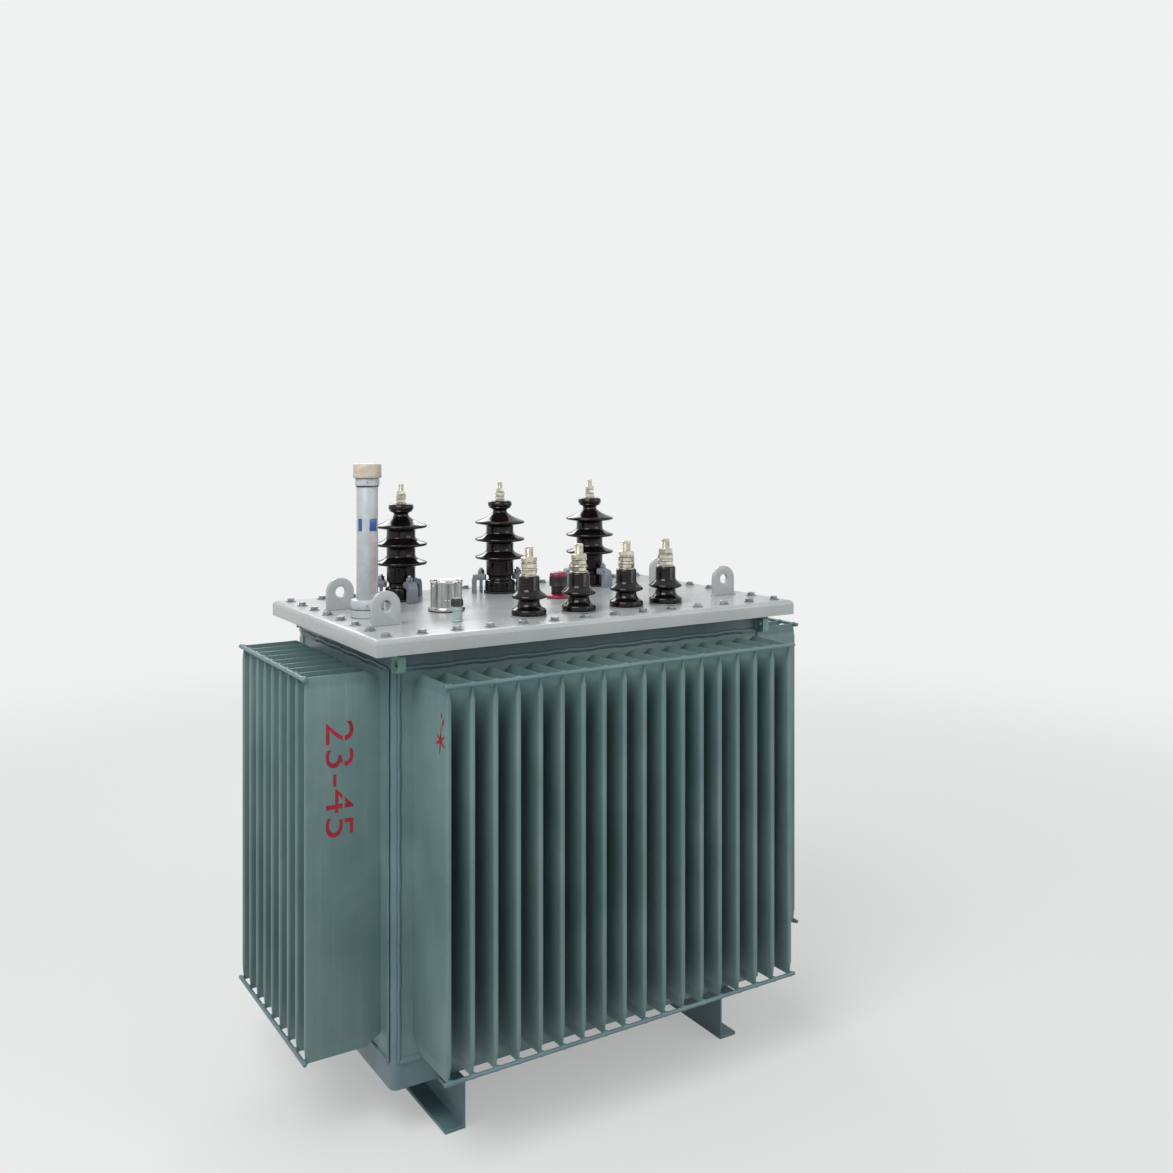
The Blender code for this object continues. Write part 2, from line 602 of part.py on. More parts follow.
# High-voltage bushings
on_lid = LID_TOP + GAP
hv_porcelain = turned_mesh("hv_bushing", hv_profile())
hv_gasket = turned_mesh("hv_gasket", cylinder_profile(HV_GASKET_RADIUS, 0.0, HV_GASKET_HEIGHT, 0.001))
hv_terminal = terminal_mesh(
    "hv_terminal", HV_STUD_RADIUS, HV_STUD_TOP - HV_HEIGHT, HV_WASHER_RADIUS, HV_NUT_RADIUS, HV_NUT_HEIGHT, CUTTERS)
for i in range(3):
    spot = Vector(((i - 1) * HV_SPACING, -LID_FRONT - HV_BACK, on_lid))
    add_turned(f"hv_gasket_{i + 1}", hv_gasket, PARTS, GASKET_RUBBER, spot)
    add_turned(f"hv_bushing_{i + 1}", hv_porcelain, PARTS, PORCELAIN, spot)
    add_object(f"hv_terminal_{i + 1}", hv_terminal, PARTS, STUD_METAL, spot + Vector((0.0, 0.0, HV_HEIGHT + GAP)))

# Low-voltage bushings
lv_porcelain = turned_mesh("lv_bushing", lv_profile())
lv_terminal = terminal_mesh(
    "lv_terminal", LV_STUD_RADIUS, LV_STUD_TOP - LV_HEIGHT, LV_WASHER_RADIUS, LV_NUT_RADIUS, LV_NUT_HEIGHT, CUTTERS)
for i, x in enumerate(LV_PLACES):
    spot = Vector((x, LID_FRONT + LV_FRONT, on_lid))
    add_turned(f"lv_bushing_{i + 1}", lv_porcelain, PARTS, PORCELAIN, spot)
    add_object(f"lv_terminal_{i + 1}", lv_terminal, PARTS, STUD_METAL, spot + Vector((0.0, 0.0, LV_HEIGHT + GAP)))

# Oil gauge, relief valve, thermometer pocket and tap changer
spot = (LID_LEFT + GAUGE_END, (LID_LUG_FRONT_ROW + LID_LUG_BACK_ROW) / 2, on_lid)
add_turned("gauge_tube", turned_mesh("gauge_tube", gauge_profile()), PARTS, GAUGE_METAL, spot)
add_turned("gauge_cap", turned_mesh("gauge_cap", gauge_cap_profile()), PARTS, GAUGE_CAP, spot)

spot = (LID_LEFT + RELIEF_END, -RELIEF_AHEAD, on_lid)
add_turned("relief_valve", turned_mesh("relief_valve", relief_profile()), PARTS, STAINLESS, spot)

spot = (LID_LEFT + POCKET_END, LID_FRONT + POCKET_FRONT, on_lid)
pocket_mesh = turned_mesh("thermometer_pocket", cylinder_profile(POCKET_RADIUS, 0.0, POCKET_HEIGHT))
add_turned("thermometer_pocket", pocket_mesh, PARTS, LID_PAINT, spot)
cap_low = POCKET_HEIGHT + GAP
cap_mesh = turned_mesh("thermometer_cap", cylinder_profile(POCKET_CAP_RADIUS, cap_low, cap_low + POCKET_CAP_HEIGHT))
add_turned("thermometer_cap", cap_mesh, PARTS, BLACK_PLASTIC, spot)

spot = (TAP_OFFSET, TAP_BEHIND, on_lid)
tap_base = turned_mesh("tap_changer_base", cylinder_profile(TAP_FLANGE_RADIUS, 0.0, TAP_FLANGE_HEIGHT))
add_turned("tap_changer_base", tap_base, PARTS, RED_PLASTIC, spot)
add_turned("tap_changer_body", turned_mesh("tap_changer_body", tap_body_profile()), PARTS, BLACK_PLASTIC, spot)
add_turned("tap_changer_cover", turned_mesh("tap_changer_cover", tap_cover_profile()), PARTS, RED_PLASTIC, spot)
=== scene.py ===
import json
from math import atan2, cos, pi, radians, sin

import bmesh
import bpy
from mathutils import Matrix, Vector


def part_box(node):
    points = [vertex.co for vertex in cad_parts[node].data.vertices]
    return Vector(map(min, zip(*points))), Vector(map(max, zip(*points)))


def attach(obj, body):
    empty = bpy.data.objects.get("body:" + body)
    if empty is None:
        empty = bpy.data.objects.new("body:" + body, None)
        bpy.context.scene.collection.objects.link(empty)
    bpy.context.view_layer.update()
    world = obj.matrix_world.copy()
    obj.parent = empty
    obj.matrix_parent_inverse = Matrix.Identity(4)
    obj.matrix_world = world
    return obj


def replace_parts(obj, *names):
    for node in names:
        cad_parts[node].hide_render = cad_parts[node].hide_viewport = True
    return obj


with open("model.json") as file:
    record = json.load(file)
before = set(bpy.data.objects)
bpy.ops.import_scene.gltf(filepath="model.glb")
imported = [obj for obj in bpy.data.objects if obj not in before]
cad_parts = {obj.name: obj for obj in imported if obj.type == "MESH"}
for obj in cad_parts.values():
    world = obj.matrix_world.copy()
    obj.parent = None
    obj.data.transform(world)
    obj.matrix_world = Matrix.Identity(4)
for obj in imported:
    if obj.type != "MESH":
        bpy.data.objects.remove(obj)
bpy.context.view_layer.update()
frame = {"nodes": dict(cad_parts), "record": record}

MM = 0.001

LID_LOW, LID_HIGH = (Vector(c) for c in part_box("lid"))
TANK_LOW, TANK_HIGH = (Vector(c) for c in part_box("rim_frame"))
LID_TOP = LID_HIGH.z
SHEET_TOP = TANK_LOW.z
LONG_WALL = TANK_HIGH.y
SHORT_WALL = TANK_HIGH.x

# Fin walls: the lowest points of sheet and fins, the size of a fin, how far a sheet stops short of the tank's
# corner, and how far from that corner the first fin of a long and of a short side stands
SHEET_FOOT = 0.1853
FIN_FOOT = 0.207
FIN_TOP = LID_TOP - 93 * MM
FIN_DEPTH = 182 * MM
FIN_THICKNESS = 13.5 * MM
SHEET_MARGIN = 20 * MM
LONG_SIDE_FIN = 61 * MM
SHORT_SIDE_FIN = 72 * MM


# Materials

def hex_colour(text):
    """sRGB hex to the linear values that Blender's sockets take."""
    parts = [int(text[i:i + 2], 16) / 255 for i in (1, 3, 5)]
    return tuple(p / 12.92 if p <= 0.04045 else ((p + 0.055) / 1.055) ** 2.4 for p in parts) + (1.0,)


def add(tree, kind, values=None, links=None, **settings):
    """Adds one shader node with its settings, socket values and incoming links."""
    made = tree.nodes.new("ShaderNode" + kind)
    for key, value in settings.items():
        setattr(made, key, value)
    for key, value in (values or {}).items():
        made.inputs[key].default_value = value
    for key, source in (links or {}).items():
        tree.links.new(source, made.inputs[key])
    return made


def blank(name, **values):
    """A new material with its shader's own constant values set. Returns material, tree and shader."""
    made = bpy.data.materials.new(name)
    made.use_nodes = True
    shader = made.node_tree.nodes["Principled BSDF"]
    for key, value in values.items():
        shader.inputs[key.replace("_", " ")].default_value = value
    return made, made.node_tree, shader


def stops(ramp, *pairs):
    """Sets a colour ramp's stops from (place, grey level or colour) pairs."""
    band = ramp.color_ramp
    while len(band.elements) > len(pairs):
        band.elements.remove(band.elements[-1])
    while len(band.elements) < len(pairs):
        band.elements.new(1.0)
    for element, (place, value) in zip(band.elements, pairs):
        element.position = place
        element.color = value if isinstance(value, tuple) else (value, value, value, 1.0)
    return ramp


def clouded(tree, shader, scale, detail, deep, pale):
    """Base colour in soft patches between two tones, each a ramp's place and a hex colour. Returns the
    object's own coordinates and the patches."""
    place = add(tree, "TexCoord").outputs["Object"]
    cloud = add(tree, "TexNoise", {"Scale": scale, "Detail": detail}, {"Vector": place})
    tone = stops(add(tree, "ValToRGB", links={"Fac": cloud.outputs["Fac"]}),
                 (deep[0], hex_colour(deep[1])), (pale[0], hex_colour(pale[1])))
    tree.links.new(tone.outputs["Color"], shader.inputs["Base Color"])
    return place, cloud


def glossed(tree, shader, patches, rough, spread):
    """Roughness that grows by spread where the patches are pale."""
    gloss = add(tree, "MapRange", {"To Min": rough, "To Max": rough + spread},
                {"Value": patches.outputs["Fac"]})
    tree.links.new(gloss.outputs["Result"], shader.inputs["Roughness"])


def grained(tree, shader, place, scale, strength, distance):
    """Fine relief of the whole surface."""
    grain = add(tree, "TexNoise", {"Scale": scale, "Detail": 1.0}, {"Vector": place})
    bump = add(tree, "Bump", {"Strength": strength, "Distance": distance}, {"Height": grain.outputs["Fac"]})
    tree.links.new(bump.outputs["Normal"], shader.inputs["Normal"])


def enamel(name, pale, deep, dust, rough, streaks, dust_share):
    """Air-dried alkyd enamel sprayed over steel: a glossy skin with faint orange peel, patches where the
    coat is thinner, runs down upright faces and a little dust."""
    made, tree, shader = blank(name, IOR=1.5)
    place = add(tree, "TexCoord").outputs["Object"]
    # Cloudy differences in the coat, about 250 mm across
    cloud = add(tree, "TexNoise", {"Scale": 4.0, "Detail": 5.0, "Roughness": 0.55}, {"Vector": place})
    coat = stops(add(tree, "ValToRGB", links={"Fac": cloud.outputs["Fac"]}),
                 (0.35, hex_colour(deep)), (0.68, hex_colour(pale)))
    # Runs and rain marks: about 12 mm wide and 400 mm long
    along = add(tree, "Mapping", {"Scale": (80.0, 80.0, 2.4)}, {"Vector": place})
    run = add(tree, "TexNoise", {"Scale": 1.0, "Detail": 3.0}, {"Vector": along.outputs["Vector"]})
    run_share = stops(add(tree, "ValToRGB", links={"Fac": run.outputs["Fac"]}), (0.50, 0.0), (0.78, streaks))
    stained = add(tree, "Mix", {"B": hex_colour(dust)},
                  {"Factor": run_share.outputs["Color"], "A": coat.outputs["Color"]}, data_type="RGBA")
    # Dust specks 2 to 4 mm across that gather in patches
    speck = add(tree, "TexNoise", {"Scale": 300.0, "Detail": 2.0}, {"Vector": place})
    patch = add(tree, "TexNoise", {"Scale": 9.0, "Detail": 4.0}, {"Vector": place})
    both = add(tree, "Math", links={0: speck.outputs["Fac"], 1: patch.outputs["Fac"]}, operation="MULTIPLY")
    dirt = stops(add(tree, "ValToRGB", links={"Fac": both.outputs["Value"]}), (0.27, 0.0), (0.42, dust_share))
    dusty = add(tree, "Mix", {"B": hex_colour(dust)},
                {"Factor": dirt.outputs["Color"], "A": stained.outputs["Result"]}, data_type="RGBA")
    tree.links.new(dusty.outputs["Result"], shader.inputs["Base Color"])
    glossed(tree, shader, patch, rough, 0.22)
    # Orange peel about 2 mm across and slow waves of the rolled sheet about 120 mm across
    peel = add(tree, "TexNoise", {"Scale": 420.0, "Detail": 1.0}, {"Vector": place})
    wave = add(tree, "TexNoise", {"Scale": 8.0, "Detail": 1.0}, {"Vector": place})
    low = add(tree, "Bump", {"Strength": 0.25, "Distance": 0.004}, {"Height": wave.outputs["Fac"]})
    fine = add(tree, "Bump", {"Strength": 0.06, "Distance": 0.001},
               {"Height": peel.outputs["Fac"], "Normal": low.outputs["Normal"]})
    tree.links.new(fine.outputs["Normal"], shader.inputs["Normal"])
    return made


def worked_metal(name, pale, deep, rough, grain, spread=0.12):
    """Plated or polished metal: bright, with fine tool marks and duller patches from handling and weather."""
    made, tree, shader = blank(name, Metallic=1.0)
    place, cloud = clouded(tree, shader, grain, 4.0, (0.35, deep), (0.65, pale))
    glossed(tree, shader, cloud, rough, spread)
    # Tool marks about 1 mm apart
    grained(tree, shader, place, 900.0, 0.08, 0.0005)
    return made


def moulded(name, pale, deep, rough, ior=1.49):
    """Even plastic, rubber, lacquer or glass: a little faded in patches, with a fine satin grain."""
    made, tree, shader = blank(name, IOR=ior)
    # Faded patches about 20 mm across
    place, cloud = clouded(tree, shader, 45.0, 4.0, (0.36, deep), (0.66, pale))
    glossed(tree, shader, cloud, rough, 0.15)
    # Mould grain, drawn about 1 mm coarse so that it shows
    grained(tree, shader, place, 1100.0, 0.10, 0.0004)
    return made


def glaze(name, body, thin):
    """Brown-glazed electrical porcelain: near black where the glaze pools, a little browner where it runs
    thin, under a clear glassy surface with slow ripples."""
    made, tree, shader = blank(name, IOR=1.5, Roughness=0.08, Specular_IOR_Level=0.32)
    # Pooled and thin glaze, about 45 mm across
    place = clouded(tree, shader, 22.0, 5.0, (0.40, body), (0.75, thin))[0]
    grained(tree, shader, place, 60.0, 0.10, 0.0015)
    return made


# Light warm grey enamel of the lid, the glossiest coat: the bushings mirror softly in it
LID_ENAMEL = enamel("lid_enamel", "#B2B7B5", "#A4A9A8", "#8F8C84", 0.15, 0.05, 0.22)
# Blue-green grey enamel of the tank, rods and base: satin, with faint runs down its sides
TANK_ENAMEL = enamel("tank_enamel", "#647D82", "#4F696F", "#7C8784", 0.26, 0.18, 0.25)
# The same enamel on the thin fins: it runs more there, so they look streaked from top to bottom
FIN_ENAMEL = enamel("fin_enamel", "#68827F", "#546F70", "#818F8A", 0.28, 0.24, 0.22)
# A fresher coat brushed on the corner lifting eyes: greener and paler than the tank behind them
LUG_ENAMEL = enamel("lug_enamel", "#82A79E", "#6C948C", "#9AA8A0", 0.24, 0.20, 0.25)
# Cool mid-grey enamel of the small clamp castings: darker and duller than the lid
CLAMP_ENAMEL = enamel("clamp_enamel", "#878C98", "#70757F", "#8F8B80", 0.28, 0.10, 0.25)
# Brown porcelain glaze: nearly black, with a sharp highlight along every shed
BROWN_GLAZE = glaze("brown_glaze", "#0C0A0B", "#1E1311")
# Zinc-plated steel of bolts and nuts: a cool, slightly dull silver
ZINC_PLATE = worked_metal("zinc_plate", "#B0B4B5", "#80868C", 0.28, 60.0)
# Tinned brass of the terminal studs: a warm pale silver
TINNED_BRASS = worked_metal("tinned_brass", "#DCD8CC", "#B9B3A2", 0.24, 80.0)
# Polished stainless steel of the relief valve: a near mirror with upright streaks of light and dark
POLISHED_STEEL = worked_metal("polished_steel", "#D8D7D5", "#BDBBBB", 0.10, 30.0, 0.08)
# Lacquered satin aluminium of the gauge tube: an even pale grey without a bare metal's dark reflections
SATIN_ALUMINIUM = moulded("satin_aluminium", "#B2B8B9", "#A6ACAE", 0.30, 1.6)
# Acrylic tube behind the gauge's slots: pale and faintly pink
PALE_ACRYLIC = moulded("pale_acrylic", "#BDB1B4", "#AFA2A6", 0.18, 1.49)
# Oil-resistant nitrile rubber of the gaskets: thin matte black lines
NITRILE = moulded("nitrile_rubber", "#1D1D1E", "#121213", 0.62, 1.52)
# Cork and rubber sheet under the low-voltage bushings: a matte grey rim
CORK_SHEET = moulded("cork_sheet", "#9C9C9A", "#86878A", 0.60, 1.5)
# Moulded nylon of the gauge cap: warm cream with a soft shine
CREAM_NYLON = moulded("cream_nylon", "#C2B6A8", "#B2A593", 0.34, 1.53)
# Black phenolic of the tap changer and the thermometer cap: satin, so that light catches on the ribs
BLACK_PHENOLIC = moulded("black_phenolic", "#1A1E22", "#101418", 0.30, 1.55)
# Wine-red phenolic of the tap changer's flange and cover: the strongest colour on the lid
RED_PHENOLIC = moulded("red_phenolic", "#94163C", "#72102E", 0.30, 1.55)
# Frosted glass of the thermometer pocket: a milky grey-green
FROSTED_GLASS = moulded("frosted_glass", "#A3B4B2", "#8FA3A2", 0.22, 1.5)
# Blue acrylic float behind the gauge's slots: a bright blue band
BLUE_ACRYLIC = moulded("blue_acrylic", "#2458A8", "#1B4388", 0.16, 1.49)
# Red marking paint laid on by brush and stencil: flat and a little uneven
MARKING_PAINT = moulded("marking_paint", "#A8142C", "#800E20", 0.40, 1.5)


# Modelling

def deselect():
    if bpy.context.object and bpy.context.object.mode != "OBJECT":
        bpy.ops.object.mode_set(mode="OBJECT")
    bpy.ops.object.select_all(action="DESELECT")


def activate(ob):
    """Selects just this piece."""
    deselect()
    ob.select_set(True)
    bpy.context.view_layer.objects.active = ob


def leave_edit():
    bpy.ops.object.mode_set(mode="OBJECT")


def pick_all():
    bpy.ops.mesh.select_all(action="SELECT")


def edit_all():
    """Enters edit mode with everything selected."""
    bpy.ops.object.mode_set(mode="EDIT")
    pick_all()


def faces_out():
    """Turns every face outwards and leaves edit mode."""
    pick_all()
    bpy.ops.mesh.normals_make_consistent(inside=False)
    leave_edit()


def pick(test_face=None, test_edge=None, test_vert=None):
    """In edit mode: selects just the faces, edges or vertices that pass the test."""
    ob = bpy.context.edit_object
    bpy.ops.mesh.select_all(action="DESELECT")
    mode = "FACE" if test_face else "EDGE" if test_edge else "VERT"
    bpy.ops.mesh.select_mode(type=mode)
    bm = bmesh.from_edit_mesh(ob.data)
    place = ob.matrix_world
    if test_face:
        for face in bm.faces:
            face.select_set(test_face(place @ face.calc_center_median(), face.normal))
    elif test_edge:
        for edge in bm.edges:
            edge.select_set(test_edge(place @ edge.verts[0].co, place @ edge.verts[1].co))
    else:
        for vert in bm.verts:
            vert.select_set(test_vert(place @ vert.co))
    bm.select_flush_mode()
    bmesh.update_edit_mesh(ob.data)


def resize(factors, about):
    bpy.ops.transform.resize(value=factors, center_override=about)


def shifted(by):
    return Matrix.Translation(by)


def spun(angle):
    """The matrix that turns about the upright axis."""
    return Matrix.Rotation(angle, 4, "Z")


def pull(out=None, by=None, about=(0.0, 0.0, 0.0)):
    """Extrudes what is selected along out, then resizes it by the factors about a point."""
    bpy.ops.mesh.extrude_region_move(TRANSFORM_OT_translate={"value": out or (0.0, 0.0, 0.0)})
    if by:
        resize(by, about)


def started(low, high):
    """A box between two corners, in edit mode and ready to be shaped."""
    deselect()
    low, high = Vector(low), Vector(high)
    bpy.ops.mesh.primitive_cube_add(size=1.0, location=(low + high) / 2, scale=high - low)
    ob = bpy.context.object
    bpy.ops.object.transform_apply(location=False, rotation=False, scale=True)
    edit_all()
    return ob


def eased(ob, width, segments=3):
    """Leaves edit mode and rounds the sharp edges by width mm."""
    leave_edit()
    bevel = ob.modifiers.new("Ease", "BEVEL")
    bevel.width = width * MM
    bevel.segments = segments
    bevel.limit_method = "ANGLE"
    bevel.angle_limit = radians(40)
    return ob


def cut(ob, cutter):
    """Cuts one solid out of another and removes the cutter."""
    activate(ob)
    mod = ob.modifiers.new("Cut", "BOOLEAN")
    mod.operation = "DIFFERENCE"
    mod.object = cutter
    bpy.ops.object.modifier_apply(modifier=mod.name)
    bpy.data.objects.remove(cutter)


def finished(ob, name, material, angle=35.0):
    """Applies modifiers and place, smooths by angle, names and paints the piece and puts it on the body."""
    activate(ob)
    for mod in list(ob.modifiers):
        bpy.ops.object.modifier_apply(modifier=mod.name)
    bpy.ops.object.transform_apply(location=True, rotation=True, scale=True)
    bpy.ops.object.shade_smooth_by_angle(angle=radians(angle))
    ob.name = name
    ob.data.name = name
    if material:
        ob.data.materials.clear()
        ob.data.materials.append(material)
    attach(ob, "root")
    return ob


def placed(ob, name, move):
    """A copy with its own mesh, moved by a matrix."""
    twin = ob.copy()
    twin.data = ob.data.copy()
    bpy.context.scene.collection.objects.link(twin)
    twin.data.transform(move)
    twin.name = name
    twin.data.name = name
    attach(twin, "root")
    return twin


def about_point(pivot, turn):
    """The matrix that turns about an upright line through a point."""
    pivot = Vector(pivot)
    return shifted(pivot) @ spun(turn) @ shifted(-pivot)


def copied(ob, name, shift=(0.0, 0.0, 0.0), turn=0.0, about=(0.0, 0.0, 0.0)):
    """A copy turned about an upright line through a point and then shifted."""
    return placed(ob, name, shifted(Vector(shift)) @ about_point(about, turn))


def joined(name, *obs):
    """One piece from several that touch, each keeping its own material."""
    deselect()
    for ob in obs:
        ob.select_set(True)
    bpy.context.view_layer.objects.active = obs[0]
    bpy.ops.object.join()
    obs[0].name = name
    obs[0].data.name = name
    return obs[0]


def turned(name, foot, rings, material, sides=64, angle=35.0):
    """A lathe-like piece: a disc on the foot is extruded and resized from ring to ring, each a radius and a
    height in mm."""
    deselect()
    foot = Vector(foot)
    radius, height = rings[0]
    bpy.ops.mesh.primitive_circle_add(
        vertices=sides, radius=radius * MM, fill_type="NGON", location=foot + Vector((0, 0, height * MM)))
    ob = bpy.context.object
    edit_all()
    for next_radius, next_height in rings[1:]:
        ratio = next_radius / radius
        pull((0.0, 0.0, (next_height - height) * MM), (ratio, ratio, 1.0), foot)
        radius, height = next_radius, next_height
    faces_out()
    return finished(ob, name, material, angle)


def fluted(ob, centre, sides, low, high, share):
    """Draws every other upright line of a turned piece inwards, a ribbed grip between two heights in mm."""
    activate(ob)
    bpy.ops.object.mode_set(mode="EDIT")
    step = 2 * pi / sides

    def in_groove(at):
        line = round(atan2(at.y - centre.y, at.x - centre.x) / step)
        return line % 2 == 0 and centre.z + low * MM <= at.z <= centre.z + high * MM

    pick(test_vert=in_groove)
    resize((share, share, 1.0), centre)
    leave_edit()
    return ob


def hex_nut(name, centre, across, low, high, material, phase=0.0):
    """A hexagon nut with its corners chamfered, low and high in mm above the centre."""
    deselect()
    centre = Vector(centre)
    radius = across / 2 / cos(pi / 6) * MM
    bpy.ops.mesh.primitive_cylinder_add(
        vertices=6, radius=radius, depth=(high - low) * MM,
        location=centre + Vector((0, 0, (low + high) / 2 * MM)), rotation=(0.0, 0.0, phase))
    ob = bpy.context.object
    bpy.ops.object.transform_apply(location=False, rotation=True, scale=True)
    bpy.ops.object.mode_set(mode="EDIT")
    pick(test_face=lambda at, normal: abs(normal.z) > 0.9)
    bpy.ops.mesh.inset(thickness=across * 0.07 * MM)
    for face_end in (-1, 1):
        level = centre.z + (low if face_end < 0 else high) * MM
        pick(test_vert=lambda at: abs(at.z - level) < 1e-5 and (at.xy - centre.xy).length > radius * 0.95)
        bpy.ops.transform.translate(value=(0.0, 0.0, -face_end * across * 0.045 * MM))
    leave_edit()
    return finished(ob, name, material, 25.0)


def thread(radius, low, high, pitch):
    """Rings for the crests and roots of a screw thread between two heights, in mm."""
    rings = []
    height = low
    while height + pitch <= high:
        rings += [(radius * 0.92, height), (radius, height + pitch * 0.4), (radius, height + pitch * 0.6)]
        height += pitch
    return rings


def weld_bead(name, length, high, proud, material, ripple=8.0, ripples=12):
    """A hand-laid weld along +X from the origin: an oval drawn out into ripples that wander a little.
    One stretch of ripples is modelled and repeated over the length, all in mm."""
    deselect()
    copies = max(1, round(length / (ripples * ripple)))
    step = length / (copies * ripples)
    bpy.ops.mesh.primitive_circle_add(vertices=8, radius=MM, fill_type="NOTHING", rotation=(0.0, pi / 2, 0.0))
    ob = bpy.context.object
    bpy.ops.object.transform_apply(location=False, rotation=True, scale=True)
    edit_all()
    resize((1.0, proud, high / 2), (0.0, 0.0, 0.0))
    swell = 1.28
    level = 0.0
    for i in range(ripples):
        part = 2 * pi * (i + 1) / ripples
        next_level = high * (0.10 * sin(part) + 0.06 * sin(3 * part))
        pull((step * 0.4 * MM, 0.0, 0.0), (1.0, swell, swell), (0.0, 0.0, level * MM))
        pull((step * 0.6 * MM, 0.0, (next_level - level) * MM), (1.0, 1 / swell, 1 / swell),
             (0.0, 0.0, next_level * MM))
        level = next_level
    leave_edit()
    row = ob.modifiers.new("Row", "ARRAY")
    row.count = copies
    row.use_relative_offset = False
    row.use_constant_offset = True
    row.constant_offset_displace = (step * ripples * MM, 0.0, 0.0)
    row.use_merge_vertices = True
    row.merge_threshold = 0.0001
    bpy.ops.object.modifier_apply(modifier=row.name)
    bpy.ops.object.mode_set(mode="EDIT")
    bpy.ops.mesh.select_all(action="DESELECT")
    bpy.ops.mesh.select_mode(type="EDGE")
    bpy.ops.mesh.select_non_manifold()
    bpy.ops.mesh.fill_holes(sides=0)
    faces_out()
    return finished(ob, name, material, 60.0)


UPRIGHT = Matrix.Rotation(-pi / 2, 4, "Y")
ALONG_X = Matrix.Rotation(pi / 2, 4, "Y")


def on_side(foot, angle, radius, height):
    """The matrix that lays a turned piece outwards at an angle round a foot, radius and height in mm."""
    return (shifted(foot) @ spun(radians(angle))
            @ shifted((radius * MM, 0.0, height * MM)) @ ALONG_X)


def bar(sides, radius, length, middle, rotation):
    """A plain cylinder, radius and length in mm."""
    deselect()
    bpy.ops.mesh.primitive_cylinder_add(
        vertices=sides, radius=radius * MM, depth=length * MM, location=middle, rotation=rotation)
    return bpy.context.object


# Lid

def make_lid():
    """Plate with its edges bent down: a box whose top edges are rounded and whose underside is sunk."""
    rounding = 12 * MM
    skirt_thickness = 8 * MM
    sunk = 31 * MM
    ob = started(LID_LOW, LID_HIGH)
    pick(test_edge=lambda a, b: min(a.z, b.z) > LID_TOP - 1e-5)
    bpy.ops.mesh.bevel(offset=rounding, segments=8, affect="EDGES")
    pick(test_face=lambda at, normal: normal.z < -0.9)
    bpy.ops.mesh.inset(thickness=skirt_thickness)
    pull((0.0, 0.0, sunk))
    leave_edit()
    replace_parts(finished(ob, "lid_plate", LID_ENAMEL), "lid")


def make_lid_seams():
    """The skirt's four upright corners are closed by a short weld, ground nearly flush."""
    seam = weld_bead("lid_seam_1", 24.0, 3.6, 0.8, LID_ENAMEL, 4.8, 5)
    moves = []
    for x, y, angle in ((LID_LOW.x, LID_LOW.y, -45), (LID_HIGH.x, LID_LOW.y, 45),
                        (LID_HIGH.x, LID_HIGH.y, 135), (LID_LOW.x, LID_HIGH.y, 225)):
        corner = shifted((x, y, LID_LOW.z + 1 * MM))
        moves.append(corner @ spun(radians(angle)) @ UPRIGHT)
    for i, move in enumerate(moves[1:], start=2):
        placed(seam, f"lid_seam_{i}", move)
    seam.data.transform(moves[0])


def make_bolts():
    """Hexagon bolts through lid, gasket and flange, with a washer on top and a washer and nut below."""
    inset = 39 * MM
    across = 18.0
    long_gaps = 13
    short_gaps = 7
    first = Vector((LID_LOW.x + inset, LID_LOW.y + inset, LID_TOP))
    washer = turned("bolt_washer", first, [(6, 0.1), (13.6, 0.1), (14, 0.5), (14, 2), (13.5, 2.5), (6, 2.5)],
                    ZINC_PLATE, 28)
    head = hex_nut("bolt_head", first, across, 2.5, 9.6, ZINC_PLATE, 0.4)
    shank = turned("bolt_end", first, [(5, -46)] + thread(6, -45, -24, 1.75) + [(5.5, -24), (5.5, -8.5)],
                   ZINC_PLATE, 20)
    lower = turned("bolt_lower_washer", first, [(6.5, -29.4), (12, -29.4), (12, -27), (6.5, -27)],
                   ZINC_PLATE, 24)
    nut = hex_nut("bolt_nut", first, across, -39.8, -29.5, ZINC_PLATE, 0.9)
    bolt = joined("lid_bolt_1", washer, head, shank, lower, nut)
    long_row = LID_HIGH.x - LID_LOW.x - 2 * inset
    short_row = LID_HIGH.y - LID_LOW.y - 2 * inset
    places = [(i * long_row / long_gaps, j * short_row) for i in range(long_gaps + 1) for j in range(2)]
    places += [(i * long_row, j * short_row / short_gaps) for j in range(1, short_gaps) for i in range(2)]
    # Each bolt is turned by another angle, as bolts are when they are tightened
    for count, (dx, dy) in enumerate(places[1:], start=2):
        copied(bolt, f"lid_bolt_{count}", (dx, dy, 0.0), count * 1.7, first)


make_lid()
make_lid_seams()
make_bolts()


# Fin walls, the rods across them and the welds that join them to the tank

